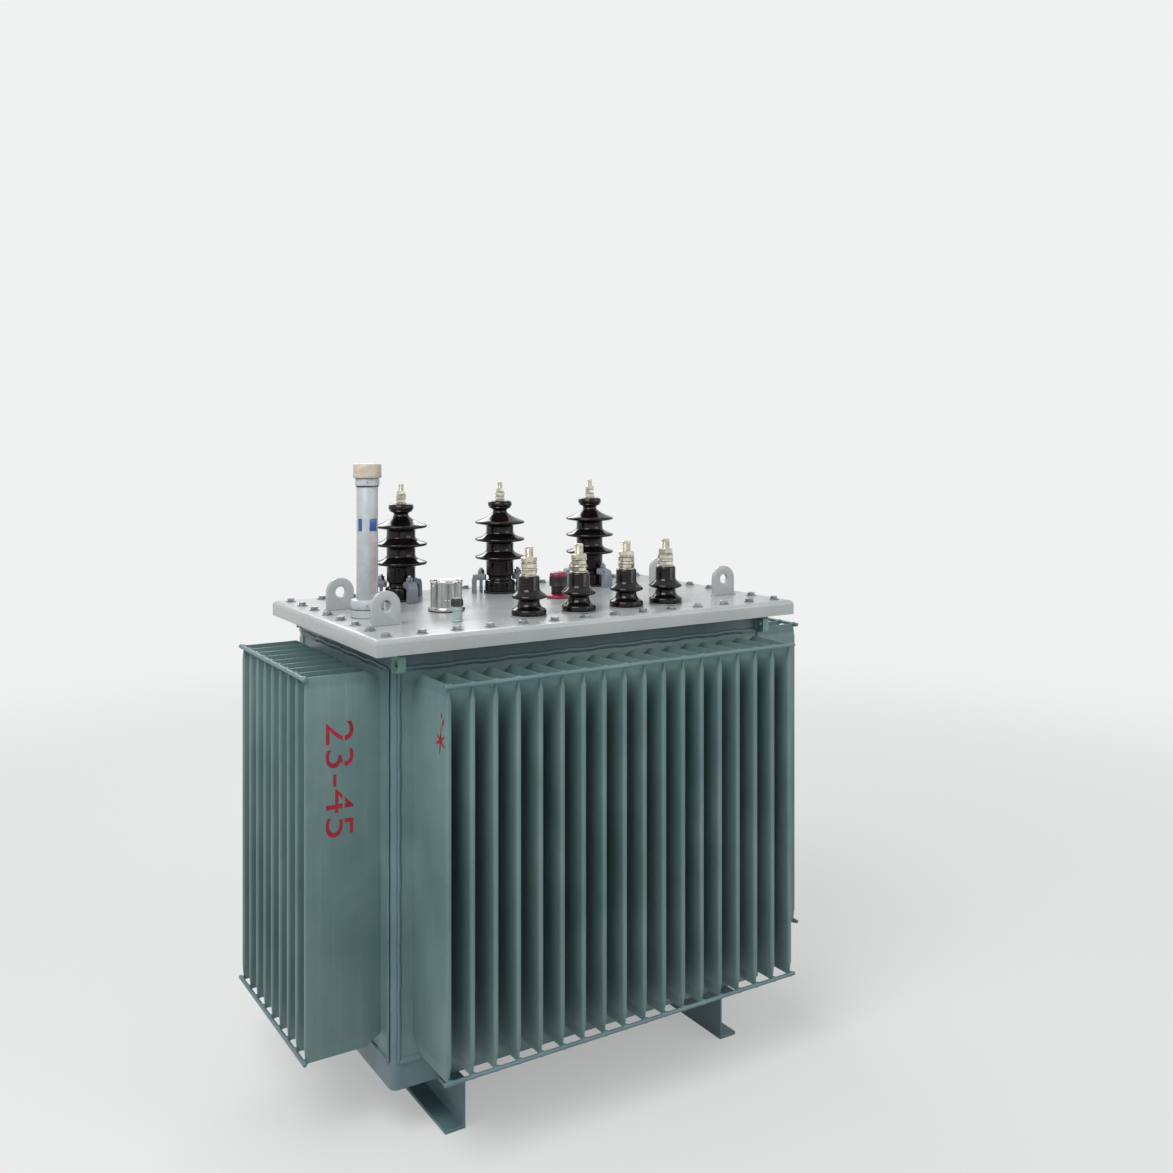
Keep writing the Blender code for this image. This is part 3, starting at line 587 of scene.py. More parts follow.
def make_fin(name, at):
    """A pressed fin: a folded sheet with a round nose, pinched and welded shut along its top and bottom."""
    body_low = FIN_FOOT + 35 * MM
    body_high = FIN_TOP - 35 * MM
    half = FIN_THICKNESS / 2
    nose = at.y - FIN_DEPTH
    ob = started((at.x - half, nose, body_low), (at.x + half, at.y + 1.5 * MM, body_high))
    pick(test_edge=lambda a, b: abs(a.z - b.z) > 0.1 and a.y < nose + 1e-4)
    bpy.ops.mesh.bevel(offset=5.6 * MM, segments=6, affect="EDGES")
    # Steps of the pinched end: the rise in mm, the share of the thickness kept and the nose's setback in mm
    steps = ((4, 0.70, 0.3), (10, 0.78, 0.8), (12, 0.80, 1.4), (6, 0.82, 1.0), (3, 0.9, 0.5))
    for end, level in ((1, body_high), (-1, body_low)):
        pick(test_face=lambda p, normal: normal.z * end > 0.9 and abs(p.z - level) < 1e-4)
        for rise, pinch, setback in steps:
            pull((0.0, 0.0, end * rise * MM), (pinch, 1 - setback * MM / FIN_DEPTH, 1.0), (at.x, at.y, level))
    # Beside the wall the pinched ends are pressed flat, so that they slope down into the sheet
    pick_all()
    bpy.ops.mesh.bisect(plane_co=(0.0, at.y - 36 * MM, 0.0), plane_no=(0.0, 1.0, 0.0))
    for end, level in ((1, body_high), (-1, body_low)):
        pick(test_vert=lambda p: p.y > at.y - 1 * MM and end * (p.z - level) > 1 * MM)
        resize((1.0, 1.0, 0.32), (at.x, at.y, level))
    leave_edit()
    return finished(ob, name, FIN_ENAMEL, 40.0)


def make_wall(side, turn, wall, corner, first_fin, count):
    """One corrugated wall: fins on a thin sheet, modelled facing -Y and then turned to its side. It stands at
    wall from the middle and its side runs to corner each way."""
    half = corner - SHEET_MARGIN
    span = corner - first_fin
    pitch = 2 * span / (count - 1)
    to_side = spun(turn)
    fin = make_fin(side + "_fin_1", Vector((-span, -wall, 0.0)))
    sheet = started((-half, -wall, SHEET_FOOT), (half, -wall + 3 * MM, SHEET_TOP - 0.3 * MM))
    sheet = finished(eased(sheet, 0.4, 2), side + "_sheet", FIN_ENAMEL)
    fins = [copied(fin, f"{side}_fin_{i + 1}", (i * pitch, 0.0, 0.0)) for i in range(1, count)]
    whole = joined(side + "_fins", sheet, fin, *fins)
    whole.data.transform(to_side)
    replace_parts(whole, side + "_fin_bank")

    # Welds along the sheet's four edges
    length = 2 * half / MM
    height = (SHEET_TOP - SHEET_FOOT) / MM
    foot = shifted((-half, -wall, SHEET_FOOT))
    level = weld_bead(side + "_weld_level", length, 12.0, 3.6, TANK_ENAMEL, 11.0)
    lower = placed(level, side + "_weld_lower", foot)
    level.data.transform(shifted((-half, -wall, SHEET_TOP)))
    upright = weld_bead(side + "_weld_upright", height, 8.0, 2.6, TANK_ENAMEL, 9.0)
    other = placed(upright, side + "_weld_other", shifted((half, -wall, SHEET_FOOT)) @ UPRIGHT)
    upright.data.transform(foot @ UPRIGHT)
    welds = joined(side + "_wall_welds", level, lower, upright, other)
    welds.data.transform(to_side)

    # Two rods, each with a blob of weld on every fin, sunk inwards to stay inside the rod's outline
    blob_rings = [(4.6, -8), (5.9, -6.2), (6.9, -2.6), (6.7, 0.6), (7, 3), (6, 6.4), (4.6, 8)]
    inwards = shifted((0.0, 2.1 * MM, 0.0))
    pieces = []
    for where in ("top", "bottom"):
        rod_low, rod_high = (Vector(c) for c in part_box(f"{side}_tie_rod_{where}"))
        middle = (rod_low + rod_high) / 2
        reach = max(abs(middle.x), abs(middle.y))
        long = max(rod_high.x - rod_low.x, rod_high.y - rod_low.y) / 2 / MM
        lying = shifted((0.0, -reach, middle.z)) @ ALONG_X
        rod_rings = [(4.2, -long), (5, 0.8 - long), (5, long - 0.8), (4.2, long)]
        rod = turned(f"{side}_rod_{where}", (0, 0, 0), rod_rings, TANK_ENAMEL, 24)
        rod.data.transform(lying)
        blob = turned(f"{side}_blob_{where}", (0, 0, 0), blob_rings, TANK_ENAMEL, 12, 60.0)
        blob.data.transform(inwards @ lying)
        pieces += [rod, blob]
        for i in range(1, count):
            pieces.append(copied(blob, f"{side}_blob_{where}_{i}", (-span + i * pitch, 0.0, 0.0)))
        blob.data.transform(shifted((-span, 0.0, 0.0)))
    rods = joined(side + "_rods", *pieces)
    rods.data.transform(to_side)
    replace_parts(rods, side + "_tie_rod_top", side + "_tie_rod_bottom")


make_wall("front", 0.0, LONG_WALL, SHORT_WALL, LONG_SIDE_FIN, 18)
make_wall("back", pi, LONG_WALL, SHORT_WALL, LONG_SIDE_FIN, 18)
make_wall("right", pi / 2, SHORT_WALL, LONG_WALL, SHORT_SIDE_FIN, 9)
make_wall("left", -pi / 2, SHORT_WALL, LONG_WALL, SHORT_SIDE_FIN, 9)


# Base channels

def make_channel():
    """A rolled channel: its web is a plate, and its two flanges are drawn out of it towards -X."""
    low, high = (Vector(c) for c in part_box("base_channel_left"))
    web = 6 * MM
    flange = 9 * MM
    ob = started((high.x - web, low.y, low.z), high)
    for level in (low.z + flange, high.z - flange):
        pick_all()
        bpy.ops.mesh.bisect(plane_co=(0.0, 0.0, level), plane_no=(0.0, 0.0, 1.0))
    pick(test_face=lambda at, normal: normal.x < -0.9 and not low.z + flange < at.z < high.z - flange)
    pull((low.x - high.x + web, 0.0, 0.0))
    channel = finished(eased(ob, 1.6), "channel_left", TANK_ENAMEL)
    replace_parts(channel, "base_channel_left")
    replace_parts(placed(channel, "channel_right", spun(pi)), "base_channel_right")


make_channel()


# Lifting eyes

def make_lid_lugs():
    """A thick plate with a round head and an eye, welded to the lid along its foot."""
    low, high = (Vector(c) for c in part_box("lid_lug_front_left"))
    head_height = 47 * MM
    foot = Vector(((low.x + high.x) / 2, (low.y + high.y) / 2, low.z))
    head = foot + Vector((0.0, 0.0, head_height))
    along_y = (pi / 2, 0.0, 0.0)
    ob = bar(64, 37, 12, head, along_y)
    bpy.ops.object.transform_apply(location=False, rotation=True, scale=True)
    edit_all()
    bpy.ops.mesh.bisect(plane_co=head, plane_no=(0.0, 0.0, 1.0), clear_inner=True, use_fill=True)
    pick(test_face=lambda at, normal: normal.z < -0.9)
    pull((0.0, 0.0, -head_height))
    leave_edit()
    cut(ob, bar(40, 14, 60, head, along_y))
    plate = finished(eased(ob, 1.4), "lug_plate", LID_ENAMEL)

    def beside_foot(x, y):
        return shifted(foot + Vector((x * MM, y * MM, 1 * MM)))

    # Two long welds beside the plate and two short ones across its ends
    run = weld_bead("lug_weld_near", 78.0, 8.0, 4.0, LID_ENAMEL, 5.0)
    far = placed(run, "lug_weld_far", beside_foot(-39, 6.5))
    run.data.transform(beside_foot(-39, -6.5))
    across = weld_bead("lug_weld_end", 14.0, 7.0, 3.4, LID_ENAMEL, 4.7, 3)
    quarter = spun(pi / 2)
    end = placed(across, "lug_weld_start", beside_foot(-37.5, -7) @ quarter)
    across.data.transform(beside_foot(37.5, -7) @ quarter)
    lug = joined("lid_lug_1", plate, run, far, across, end)
    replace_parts(lug, "lid_lug_front_left")
    for i, node in enumerate(("lid_lug_back_left", "lid_lug_front_right", "lid_lug_back_right"), start=2):
        shift = Vector(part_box(node)[0]) - low
        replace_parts(copied(lug, f"lid_lug_{i}", shift), node)


def make_corner_lugs():
    """A short thick plate square to the tank's wall, with rounded outer corners and an eye."""
    low, high = (Vector(c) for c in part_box("corner_lug_front_left"))
    middle = (low + high) / 2
    ob = started(low, high)
    pick(test_edge=lambda a, b: abs(a.x - b.x) > 0.01 and max(a.y, b.y) < middle.y)
    bpy.ops.mesh.bevel(offset=13 * MM, segments=8, affect="EDGES")
    leave_edit()
    cut(ob, bar(32, 9, 80, middle + Vector((0.0, -1 * MM, 0.0)), (0.0, pi / 2, 0.0)))
    plate = finished(eased(ob, 1.2), "corner_plate", LUG_ENAMEL)
    near = weld_bead("corner_weld_near", 46.0, 6.0, 3.0, LUG_ENAMEL, 4.0)
    far = placed(near, "corner_weld_far", shifted((high.x, high.y, low.z)) @ UPRIGHT)
    near.data.transform(shifted((low.x, high.y, low.z)) @ UPRIGHT)
    lug = joined("corner_lug_1", plate, near, far)
    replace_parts(lug, "corner_lug_front_left")
    across = placed(lug, "corner_lug_2", shifted((-2 * middle.x, 0.0, 0.0)))
    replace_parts(across, "corner_lug_front_right")
    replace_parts(placed(lug, "corner_lug_3", spun(pi)), "corner_lug_back_right")
    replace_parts(placed(across, "corner_lug_4", spun(pi)), "corner_lug_back_left")


make_lid_lugs()
make_corner_lugs()


# Bushings

# Porcelain outlines, each ring a radius and a height in mm. A shed's lip swells out of the stem and its top
# slopes back to it, and the same shed stands three times on a high-voltage bushing
SHED_LIP = [(40, 0), (40.6, 3), (43, 5.2), (47, 6.4), (58, 8.6), (67, 10.4), (70.6, 11.4), (72.4, 13),
            (73, 15), (72.4, 17), (70.4, 18.4)]
SHED = SHED_LIP + [(62, 21), (52, 24.6), (45, 28.4), (41.4, 32.4), (40, 37)]


def raised(rings, height):
    return [(radius, level + height) for radius, level in rings]


HV_RINGS = [
    (42, 6.4), (43.6, 7.4), (44, 9), (44, 32), (43.4, 34.5), (41, 36.6), (37.5, 37.4), (34.6, 39), (33.2, 42),
    (33.2, 46), (35, 50), (38.4, 53.5),
    (40, 57), *raised(SHED, 90), *raised(SHED, 142), *raised(SHED_LIP, 192),
    (60, 213.8), (48, 218.6), (37, 224), (28, 229.6), (22, 235), (20.2, 239.5), (21, 243), (26, 246.4),
    (30.6, 248.2), (32, 250), (31.4, 251.8), (33.4, 253.4), (35, 256), (35, 262), (33.4, 266.6), (29, 269.4),
    (22, 270),
]
LV_RINGS = [
    (43.4, 2.8), (45, 4), (45, 14), (44.2, 16.4), (41.6, 18.2), (36.6, 20.6), (32, 24.6), (28.8, 30),
    (27.4, 36),
    (27.6, 39), (30, 41.4), (36, 43.6), (42, 45.6), (44.2, 47), (45, 49.4), (44.4, 51.8), (42, 54.2),
    (36.6, 58.4), (31.6, 62.8), (28.6, 67), (27.6, 71), (27.4, 98), (26.6, 100.6), (24.6, 102),
]

# What is threaded on each stud, from the porcelain up: kind, size, lowest and highest point in mm
HV_STACK = (("washer", 16, 270.3, 273), ("nut", 24, 273, 283), ("washer", 14, 283, 285.2),
            ("nut", 24, 285.2, 295), ("washer", 13, 295, 296.8), ("nut", 22, 296.8, 306))
LV_STACK = (("washer", 24, 102.3, 105), ("nut", 38, 105, 117), ("washer", 22.5, 117, 119.6),
            ("washer", 21, 119.6, 122), ("nut", 38, 122, 135), ("washer", 21.5, 135, 137.4),
            ("nut", 36, 137.4, 150))


def seat(node):
    """The point on the lid under the middle of a CAD piece, a hair above the plate."""
    low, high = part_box(node)
    return Vector(((low[0] + high[0]) / 2, (low[1] + high[1]) / 2, LID_TOP + 0.3 * MM))


def make_terminal(name, foot, stack, stud, top, pitch):
    """A threaded stud with the nuts and washers that clamp a cable lug. Heights in mm above the lid."""
    pieces = []
    for i, (kind, size, low, high) in enumerate(stack):
        if kind == "nut":
            pieces.append(hex_nut(f"{name}_nut_{i}", foot, size, low, high, TINNED_BRASS, 0.35 * i))
        else:
            rim = size - 0.4
            rings = [(stud, low), (rim, low), (size, low + 0.5), (size, high - 0.5), (rim, high),
                     (stud, high)]
            pieces.append(turned(f"{name}_washer_{i}", foot, rings, TINNED_BRASS, 40))
    lowest = stack[0][2]
    highest = stack[-1][3]
    rings = [(stud * 0.92, lowest)] + thread(stud, highest - 1, top - 3, pitch) + [(stud, top - 2)]
    pieces.append(turned(name + "_stud", foot, rings + [(stud * 0.8, top)], TINNED_BRASS, 28))
    return joined(name, *pieces)


def make_clamp(name, foot):
    """A cast clamp reaching out to +X: an inner end hooked over the bushing's foot, an arch, and an outer leg
    on the lid, held down by a stud with a washer, a nut and a bolt end."""
    inner = 40 * MM
    knee = 68 * MM
    outer = 82 * MM
    half = 16 * MM
    under = 38 * MM
    top = 54 * MM
    ob = started(foot + Vector((inner, -half, under)), foot + Vector((outer, half, top)))
    bpy.ops.mesh.bisect(plane_co=foot + Vector((knee, 0.0, 0.0)), plane_no=(1.0, 0.0, 0.0))
    # The leg narrows and then spreads again on the lid
    pick(test_face=lambda p, normal: normal.z < -0.9 and p.x > foot.x + knee)
    leg = foot + Vector(((knee + outer) / 2, 0.0, 0.0))
    pull((0.0, 0.0, -19 * MM), (0.94, 0.92, 1.0), leg)
    pull((0.0, 0.0, -18 * MM), (1.10, 1.04, 1.0), leg)
    # Dished sides and a raised pad under the nut
    pick(test_face=lambda p, normal: abs(normal.y) > 0.9 and p.z > foot.z + under)
    bpy.ops.mesh.inset(thickness=4 * MM, use_individual=True)
    mid_height = (under + top) / 2
    for side in (-1, 1):
        pick(test_face=lambda p, normal: normal.y * side > 0.9 and abs(p.z - foot.z - mid_height) < 3 * MM
             and abs(p.y - foot.y) > half - 1 * MM)
        bpy.ops.transform.translate(value=(0.0, -side * 1.8 * MM, 0.0))
    pick(test_face=lambda p, normal: normal.z > 0.9 and p.x < foot.x + knee)
    bpy.ops.mesh.inset(thickness=4 * MM)
    pull((0.0, 0.0, 2.5 * MM))
    # The outer shoulder slopes and the hooked end is narrower than the arch
    pick(test_vert=lambda p: p.x > foot.x + outer - 1 * MM and p.z > foot.z + top - 1 * MM)
    bpy.ops.transform.translate(value=(-3 * MM, 0.0, -8 * MM))
    pick(test_vert=lambda p: p.x < foot.x + inner + 1 * MM)
    resize((1.0, 0.72, 1.0), foot)
    casting = finished(eased(ob, 2.2), name, CLAMP_ENAMEL)
    at = foot + Vector((55 * MM, 0.0, 0.0))
    washer = turned(name + "_washer", at, [(5, 56.6), (10, 56.6), (10, 59), (5, 59)], ZINC_PLATE, 24)
    nut = hex_nut(name + "_nut", at, 17.0, 59, 68, ZINC_PLATE, 0.2)
    rings = [(4.6, 0.2), (4.6, 64)] + thread(5, 66, 72.5, 1.75) + [(4, 73.5)]
    stud = turned(name + "_stud", at, rings, ZINC_PLATE, 16)
    return joined(name, casting, washer, nut, stud)


# Each high-voltage bushing has three clamps, at these angles round it
CLAMP_ANGLES = {1: (-89.0, 31.0, 151.0), 2: (-10.0, 72.0, 155.0), 3: (-77.0, 43.0, 163.0)}
first_foot = seat("hv_bushing_1")
porcelain = turned("hv_porcelain_1", first_foot, HV_RINGS, BROWN_GLAZE, 96, 50.0)
gasket = turned("hv_seal_1", first_foot, [(45, 0.2), (47, 0.6), (47, 5.4), (45, 6)], NITRILE, 64)
terminal = make_terminal("hv_stud_1", first_foot, HV_STACK, 7.2, 326, 2.0)
clamp = make_clamp("hv_clamp", first_foot)
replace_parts(porcelain, "hv_bushing_1")
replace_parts(gasket, "hv_gasket_1")
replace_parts(terminal, "hv_terminal_1")
for i in (1, 2, 3):
    shift = seat(f"hv_bushing_{i}") - first_foot
    if i > 1:
        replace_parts(copied(porcelain, f"hv_porcelain_{i}", shift), f"hv_bushing_{i}")
        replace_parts(copied(gasket, f"hv_seal_{i}", shift), f"hv_gasket_{i}")
        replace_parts(copied(terminal, f"hv_stud_{i}", shift, 0.5 * i, first_foot), f"hv_terminal_{i}")
    for j, angle in enumerate(CLAMP_ANGLES[i]):
        copied(clamp, f"hv_clamp_{i}_{j + 1}", shift, radians(angle), first_foot)
bpy.data.objects.remove(clamp)

first_foot = seat("lv_bushing_1")
porcelain = turned("lv_porcelain_1", first_foot, LV_RINGS, BROWN_GLAZE, 72, 50.0)
gasket = turned("lv_seal_1", first_foot, [(44, 0.2), (46, 0.6), (46, 2.2), (44, 2.6)], CORK_SHEET, 64)
terminal = make_terminal("lv_stud_1", first_foot, LV_STACK, 11.6, 177, 3.0)
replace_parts(porcelain, "lv_bushing_1")
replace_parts(terminal, "lv_terminal_1")
for i in (2, 3, 4):
    shift = seat(f"lv_bushing_{i}") - first_foot
    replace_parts(copied(porcelain, f"lv_porcelain_{i}", shift), f"lv_bushing_{i}")
    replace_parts(copied(terminal, f"lv_stud_{i}", shift, 0.6 * i, first_foot), f"lv_terminal_{i}")
    copied(gasket, f"lv_seal_{i}", shift)


# Oil gauge

def make_gauge():
    """A tube on a stepped collar, with sight slots in which a blue float rides over a pale inner tube."""
    foot = seat("gauge_tube")
    collar = turned("gauge_collar", foot, [(40, 0.2), (42, 1.4), (42, 18.4), (41, 19.6),
                                           (34, 19.8)], LID_ENAMEL)
    seal = turned("gauge_seal", foot, [(36, 19.8), (41.4, 19.8), (41.4, 21.6), (36, 21.6)], NITRILE)
    ring = turned("gauge_ring", foot, [(36, 21.6), (41.2, 21.6), (42, 22.8), (42, 41.6), (40.6, 44),
                                       (36, 45.2), (30, 45.8), (26, 46)], SATIN_ALUMINIUM)
    tube = turned("gauge_barrel", foot, [(26.4, 45.6), (27, 46.6), (27, 331),
                                         (26.4, 332)], SATIN_ALUMINIUM, 96)
    pieces = [collar, seal, ring]

    def block(name, low, high, ease, segments, material):
        """An eased box between two corners given in mm from the foot."""
        ob = started(foot + Vector(low) * MM, foot + Vector(high) * MM)
        return finished(eased(ob, ease, segments), name, material)

    # Each slot: its angle, its width and the height at which it starts. The hidden side repeats the near one
    slots = ((-75.6, 22, 58), (205.4, 13, 216), (104.4, 22, 58), (25.4, 13, 216))
    for i, (angle, width, low) in enumerate(slots):
        turn = about_point(foot, radians(angle))
        half = width / 2
        cutter = block("slot", (23, -half, low), (32, half, 250), 2.0, 3, None)
        cutter.data.transform(turn)
        cut(tube, cutter)
        edge = half - 0.3
        strip = block(f"gauge_strip_{i}", (22.6, -edge, low + 0.5), (23.8, edge, 249.5), 0.5, 2, PALE_ACRYLIC)
        edge = half - 0.5
        floating = block(f"gauge_float_{i}", (23.8, -edge, 219), (25.4, edge, 248), 0.7, 3, BLUE_ACRYLIC)
        for piece in (strip, floating):
            piece.data.transform(turn)
        pieces += [strip, floating]
    finished(tube, "gauge_barrel", None)
    top = turned("gauge_top", foot, [(27, 332.4), (28.6, 332.4), (30.5, 333.8), (30.5, 350.4), (29.4, 352),
                                     (26, 352.2)], SATIN_ALUMINIUM)
    line = turned("gauge_line", foot, [(26, 330.6), (29.2, 330.6), (29.2, 332.4), (26, 332.4)], NITRILE)
    pieces += [tube, top, line]
    # Small fixing screws in the ring and the top collar, sunk by half a head
    screw_rings = [(2.6, -1.5), (2.6, 0.4), (2.1, 0.8), (1.0, 0.8), (0.9, 0.1)]
    for i, (radius, height, angle) in enumerate(((42, 33, -112), (42, 33, 68), (30.5, 342, -112),
                                                (30.5, 342, 68))):
        screw = turned(f"gauge_screw_{i}", (0, 0, 0), screw_rings, ZINC_PLATE, 20)
        screw.data.transform(on_side(foot, angle, radius, height))
        pieces.append(screw)
    gauge = joined("oil_gauge", *pieces)
    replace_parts(gauge, "gauge_tube")
    cap = turned("oil_gauge_cap", foot, [(33.4, 352.5), (35.4, 353), (36, 354.4), (36, 361),
                                         (35.4, 361.8), (35.4, 383),
                                         (34.6, 386), (32, 388.2), (20, 389), (6, 389)], CREAM_NYLON)
    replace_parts(cap, "gauge_cap")


make_gauge()


# Relief valve, thermometer pocket and tap changer

def make_relief_valve():
    """A drawn steel cup turned upside down on a stepped flange, with a rolled lip round its domed top."""
    foot = seat("relief_valve")
    seal = turned("relief_seal", foot, [(45, 0.2), (47.4, 0.2), (47.4, 2.6), (45, 2.6)], NITRILE)
    cup = turned("relief_cup", foot, [
        (46, 2.6), (47.6, 3), (48, 3.8), (48, 5.4), (47, 6.2), (46.2, 6.4), (46.2, 8.6), (45.4, 9.8),
        (42.8, 10.2),
        (41.5, 11.6), (41.5, 72.6), (42, 73.8), (43, 75), (43, 78.6), (42.2, 80.4), (40.4, 81.2),
        (38.4, 80.6), (36.8, 79.6), (35, 79.8), (32.6, 81.6), (26, 83.6), (16, 85.2), (6, 85.9), (1, 86),
    ], POLISHED_STEEL, 96)
    pieces = [seal, cup]
    # Two small plugs in the side and one under the lip
    for i, (height, angle, radius) in enumerate(((29, -118, 3.4), (29, -106, 3.4), (66, 190, 3.0))):
        rings = [(radius, -2), (radius, 0.8), (radius * 0.8, 1.8), (radius * 0.3, 2.2)]
        plug = turned(f"relief_plug_{i}", (0, 0, 0), rings, POLISHED_STEEL, 20)
        plug.data.transform(on_side(foot, angle, 41.3, height))
        pieces.append(plug)
    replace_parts(joined("relief_valve_cup", *pieces), "relief_valve")


def make_thermometer():
    """A frosted pocket with a small bleed knob, closed by a ribbed tapering cap."""
    foot = seat("thermometer_pocket")
    pocket = turned("pocket_tube", foot, [
        (12, 0.2), (13.4, 0.8), (13.5, 3), (12, 5), (11.8, 26), (13.5, 28.4), (13.5, 36.6),
        (12.6, 37.6), (8, 37.8)],
        FROSTED_GLASS, 48)
    knob = turned("pocket_knob", (0, 0, 0), [(1.6, 0), (1.6, 3), (3, 3.4), (3, 7),
                                             (2.2, 7.8)], BLACK_PHENOLIC, 20)
    knob.data.transform(on_side(foot, -25, 12, 32))
    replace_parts(joined("thermometer_tube", pocket, knob), "thermometer_pocket")
    cap = turned("thermometer_grip", foot, [
        (13.8, 38.4), (15.4, 39), (15.4, 41), (15.2, 48), (14.2, 54), (12.6, 57), (10, 58.2), (3, 58.3)],
        BLACK_PHENOLIC, 48)
    fluted(cap, foot, 48, 40.5, 55, 0.93)
    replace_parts(cap, "thermometer_cap")


def make_tap_changer():
    """A wine-red flange, a black stem and body with a ribbed grip, and a domed wine-red cover."""
    foot = seat("tap_changer_base")
    flange = turned("tap_flange", foot, [
        (33.6, 0.2), (35, 1), (35, 4.4), (34, 6.6), (30, 8.8), (25, 10.4), (21, 11)], RED_PHENOLIC)
    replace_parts(flange, "tap_changer_base")
    body = turned("tap_body", foot, [
        (19.6, 11.3), (20, 12), (20, 30), (21.4, 32.2), (24.4, 33.2), (25.5, 34.6), (25.5, 36), (25.5, 56),
        (25.5, 58.6), (24.4, 59.8), (18, 60)], BLACK_PHENOLIC, 72)
    fluted(body, foot, 72, 35.5, 56.5, 0.965)
    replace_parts(body, "tap_changer_body")
    cover = turned("tap_cover", foot, [
        (22.6, 60.4), (24.4, 60.8), (24.5, 62), (24.5, 66.4), (23.6, 68.6), (20.6, 70.8), (14, 73), (7, 74),
        (1, 74.2)], RED_PHENOLIC)
    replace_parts(cover, "tap_changer_cover")


make_relief_valve()
make_thermometer()
make_tap_changer()


# Marks in red paint

def make_stroke(name, length, width, move):
    """One stroke of a flat brush: wide where it starts and thin where it lifts."""
    deselect()
    bpy.ops.mesh.primitive_circle_add(vertices=24, radius=1.0, fill_type="NGON")
    ob = bpy.context.object
    edit_all()
    origin = (0.0, 0.0, 0.0)
    resize((length / 2 * MM, width / 2 * MM, 1.0), origin)
    pick(test_vert=lambda at: at.x > length * 0.15 * MM)
    resize((1.0, 0.75, 1.0), origin)
    pick_all()
    pull((0.0, 0.0, 0.3 * MM))
    faces_out()
    stroke = finished(ob, name, MARKING_PAINT)
    stroke.data.transform(move)
    return stroke


def make_brush_mark():
    """A hand-brushed star on the left face of the first front fin."""
    face = LONG_SIDE_FIN - SHORT_WALL - FIN_THICKNESS / 2
    middle = Vector((face - 0.05 * MM, -0.469, 0.963))
    # Turns what is drawn flat to face -X, with its own +Y upwards
    outward = Matrix(((0, 0, -1, 0), (-1, 0, 0, 0), (0, 1, 0, 0), (0, 0, 0, 1)))
    # Each stroke: its length in mm, its angle and its middle in mm. Each one lies on top of the last
    laid = ((68, 82, 0, 0), (52, 28, 0, -2), (50, 148, 1, -3), (20, 74, 13, 40), (11, 80, 5, 54))
    strokes = []
    for i, (length, angle, across, up) in enumerate(laid):
        place = shifted((across * MM, up * MM, i * 0.07 * MM)) @ spun(radians(angle))
        strokes.append(make_stroke(f"stroke_{i}", length, 7.0, shifted(middle) @ outward @ place))
    joined("brush_mark", *strokes)


def make_stencil():
    """Plain numbers stencilled down the outer fin of the left wall."""
    deselect()
    bpy.ops.object.text_add()
    ob = bpy.context.object
    ob.data.body = "23-45"
    ob.data.align_x = "CENTER"
    ob.data.align_y = "CENTER"
    ob.data.offset = -0.004
    ob.data.extrude = 0.01
    bpy.ops.object.convert(target="MESH")
    edit_all()
    bpy.ops.mesh.remove_doubles(threshold=1e-5)
    faces_out()
    # The stencil's bridges leave a gap across every figure
    bridge = started((-3.0, 0.115, -1.0), (3.0, 0.165, 1.0))
    leave_edit()
    cut(ob, bridge)
    numbers = finished(ob, "stencil_numbers", MARKING_PAINT)
    corners = [v.co for v in numbers.data.vertices]
    low = Vector([min(c[i] for c in corners) for i in range(3)])
    high = Vector([max(c[i] for c in corners) for i in range(3)])
    size = high - low
    length = 266 * MM
    height = 67 * MM
    paint = 0.3 * MM
    fit = Matrix.Diagonal((length / size.x, height / size.y, paint / size.z, 1.0))
    face = SHORT_SIDE_FIN - LONG_WALL - FIN_THICKNESS / 2
    middle = shifted((-0.6595, face - 0.1 * MM, 0.846))
    # Turns the row to face -Y and to read downwards
    downwards = Matrix(((0, 1, 0, 0), (0, 0, -1, 0), (-1, 0, 0, 0), (0, 0, 0, 1)))
    numbers.data.transform(middle @ downwards @ fit @ shifted(-(low + high) / 2))


make_brush_mark()
make_stencil()


# Finishes of the CAD pieces that stay: tank body, rim frame, flange and gasket

FINISHES = {
    "lid_paint": LID_ENAMEL, "tank_paint": TANK_ENAMEL, "fin_paint": FIN_ENAMEL,
    "brown_porcelain": BROWN_GLAZE, "stud_metal": TINNED_BRASS, "gasket_rubber": NITRILE,
    "gauge_metal": SATIN_ALUMINIUM, "gauge_cap": CREAM_NYLON,
    "stainless": POLISHED_STEEL, "black_plastic": BLACK_PHENOLIC, "red_plastic": RED_PHENOLIC,
}
for part in frame["record"]["subparts"]:
    node = frame["nodes"][part["node"]]
    for slot in node.material_slots:
        slot.material = FINISHES[part["material_slot"]]


# Floor, light and camera

BACKGROUND = "#F0F1F1"


def seen_directly(tree):
    """One for camera rays and for the glossy and transmission rays that show the background in metal and
    glass."""
    ray = add(tree, "LightPath").outputs
    seen = ray["Is Camera Ray"]
    for kind in ("Is Glossy Ray", "Is Transmission Ray"):
        seen = add(tree, "Math", links={0: seen, 1: ray[kind]}, operation="MAXIMUM").outputs["Value"]
    return seen


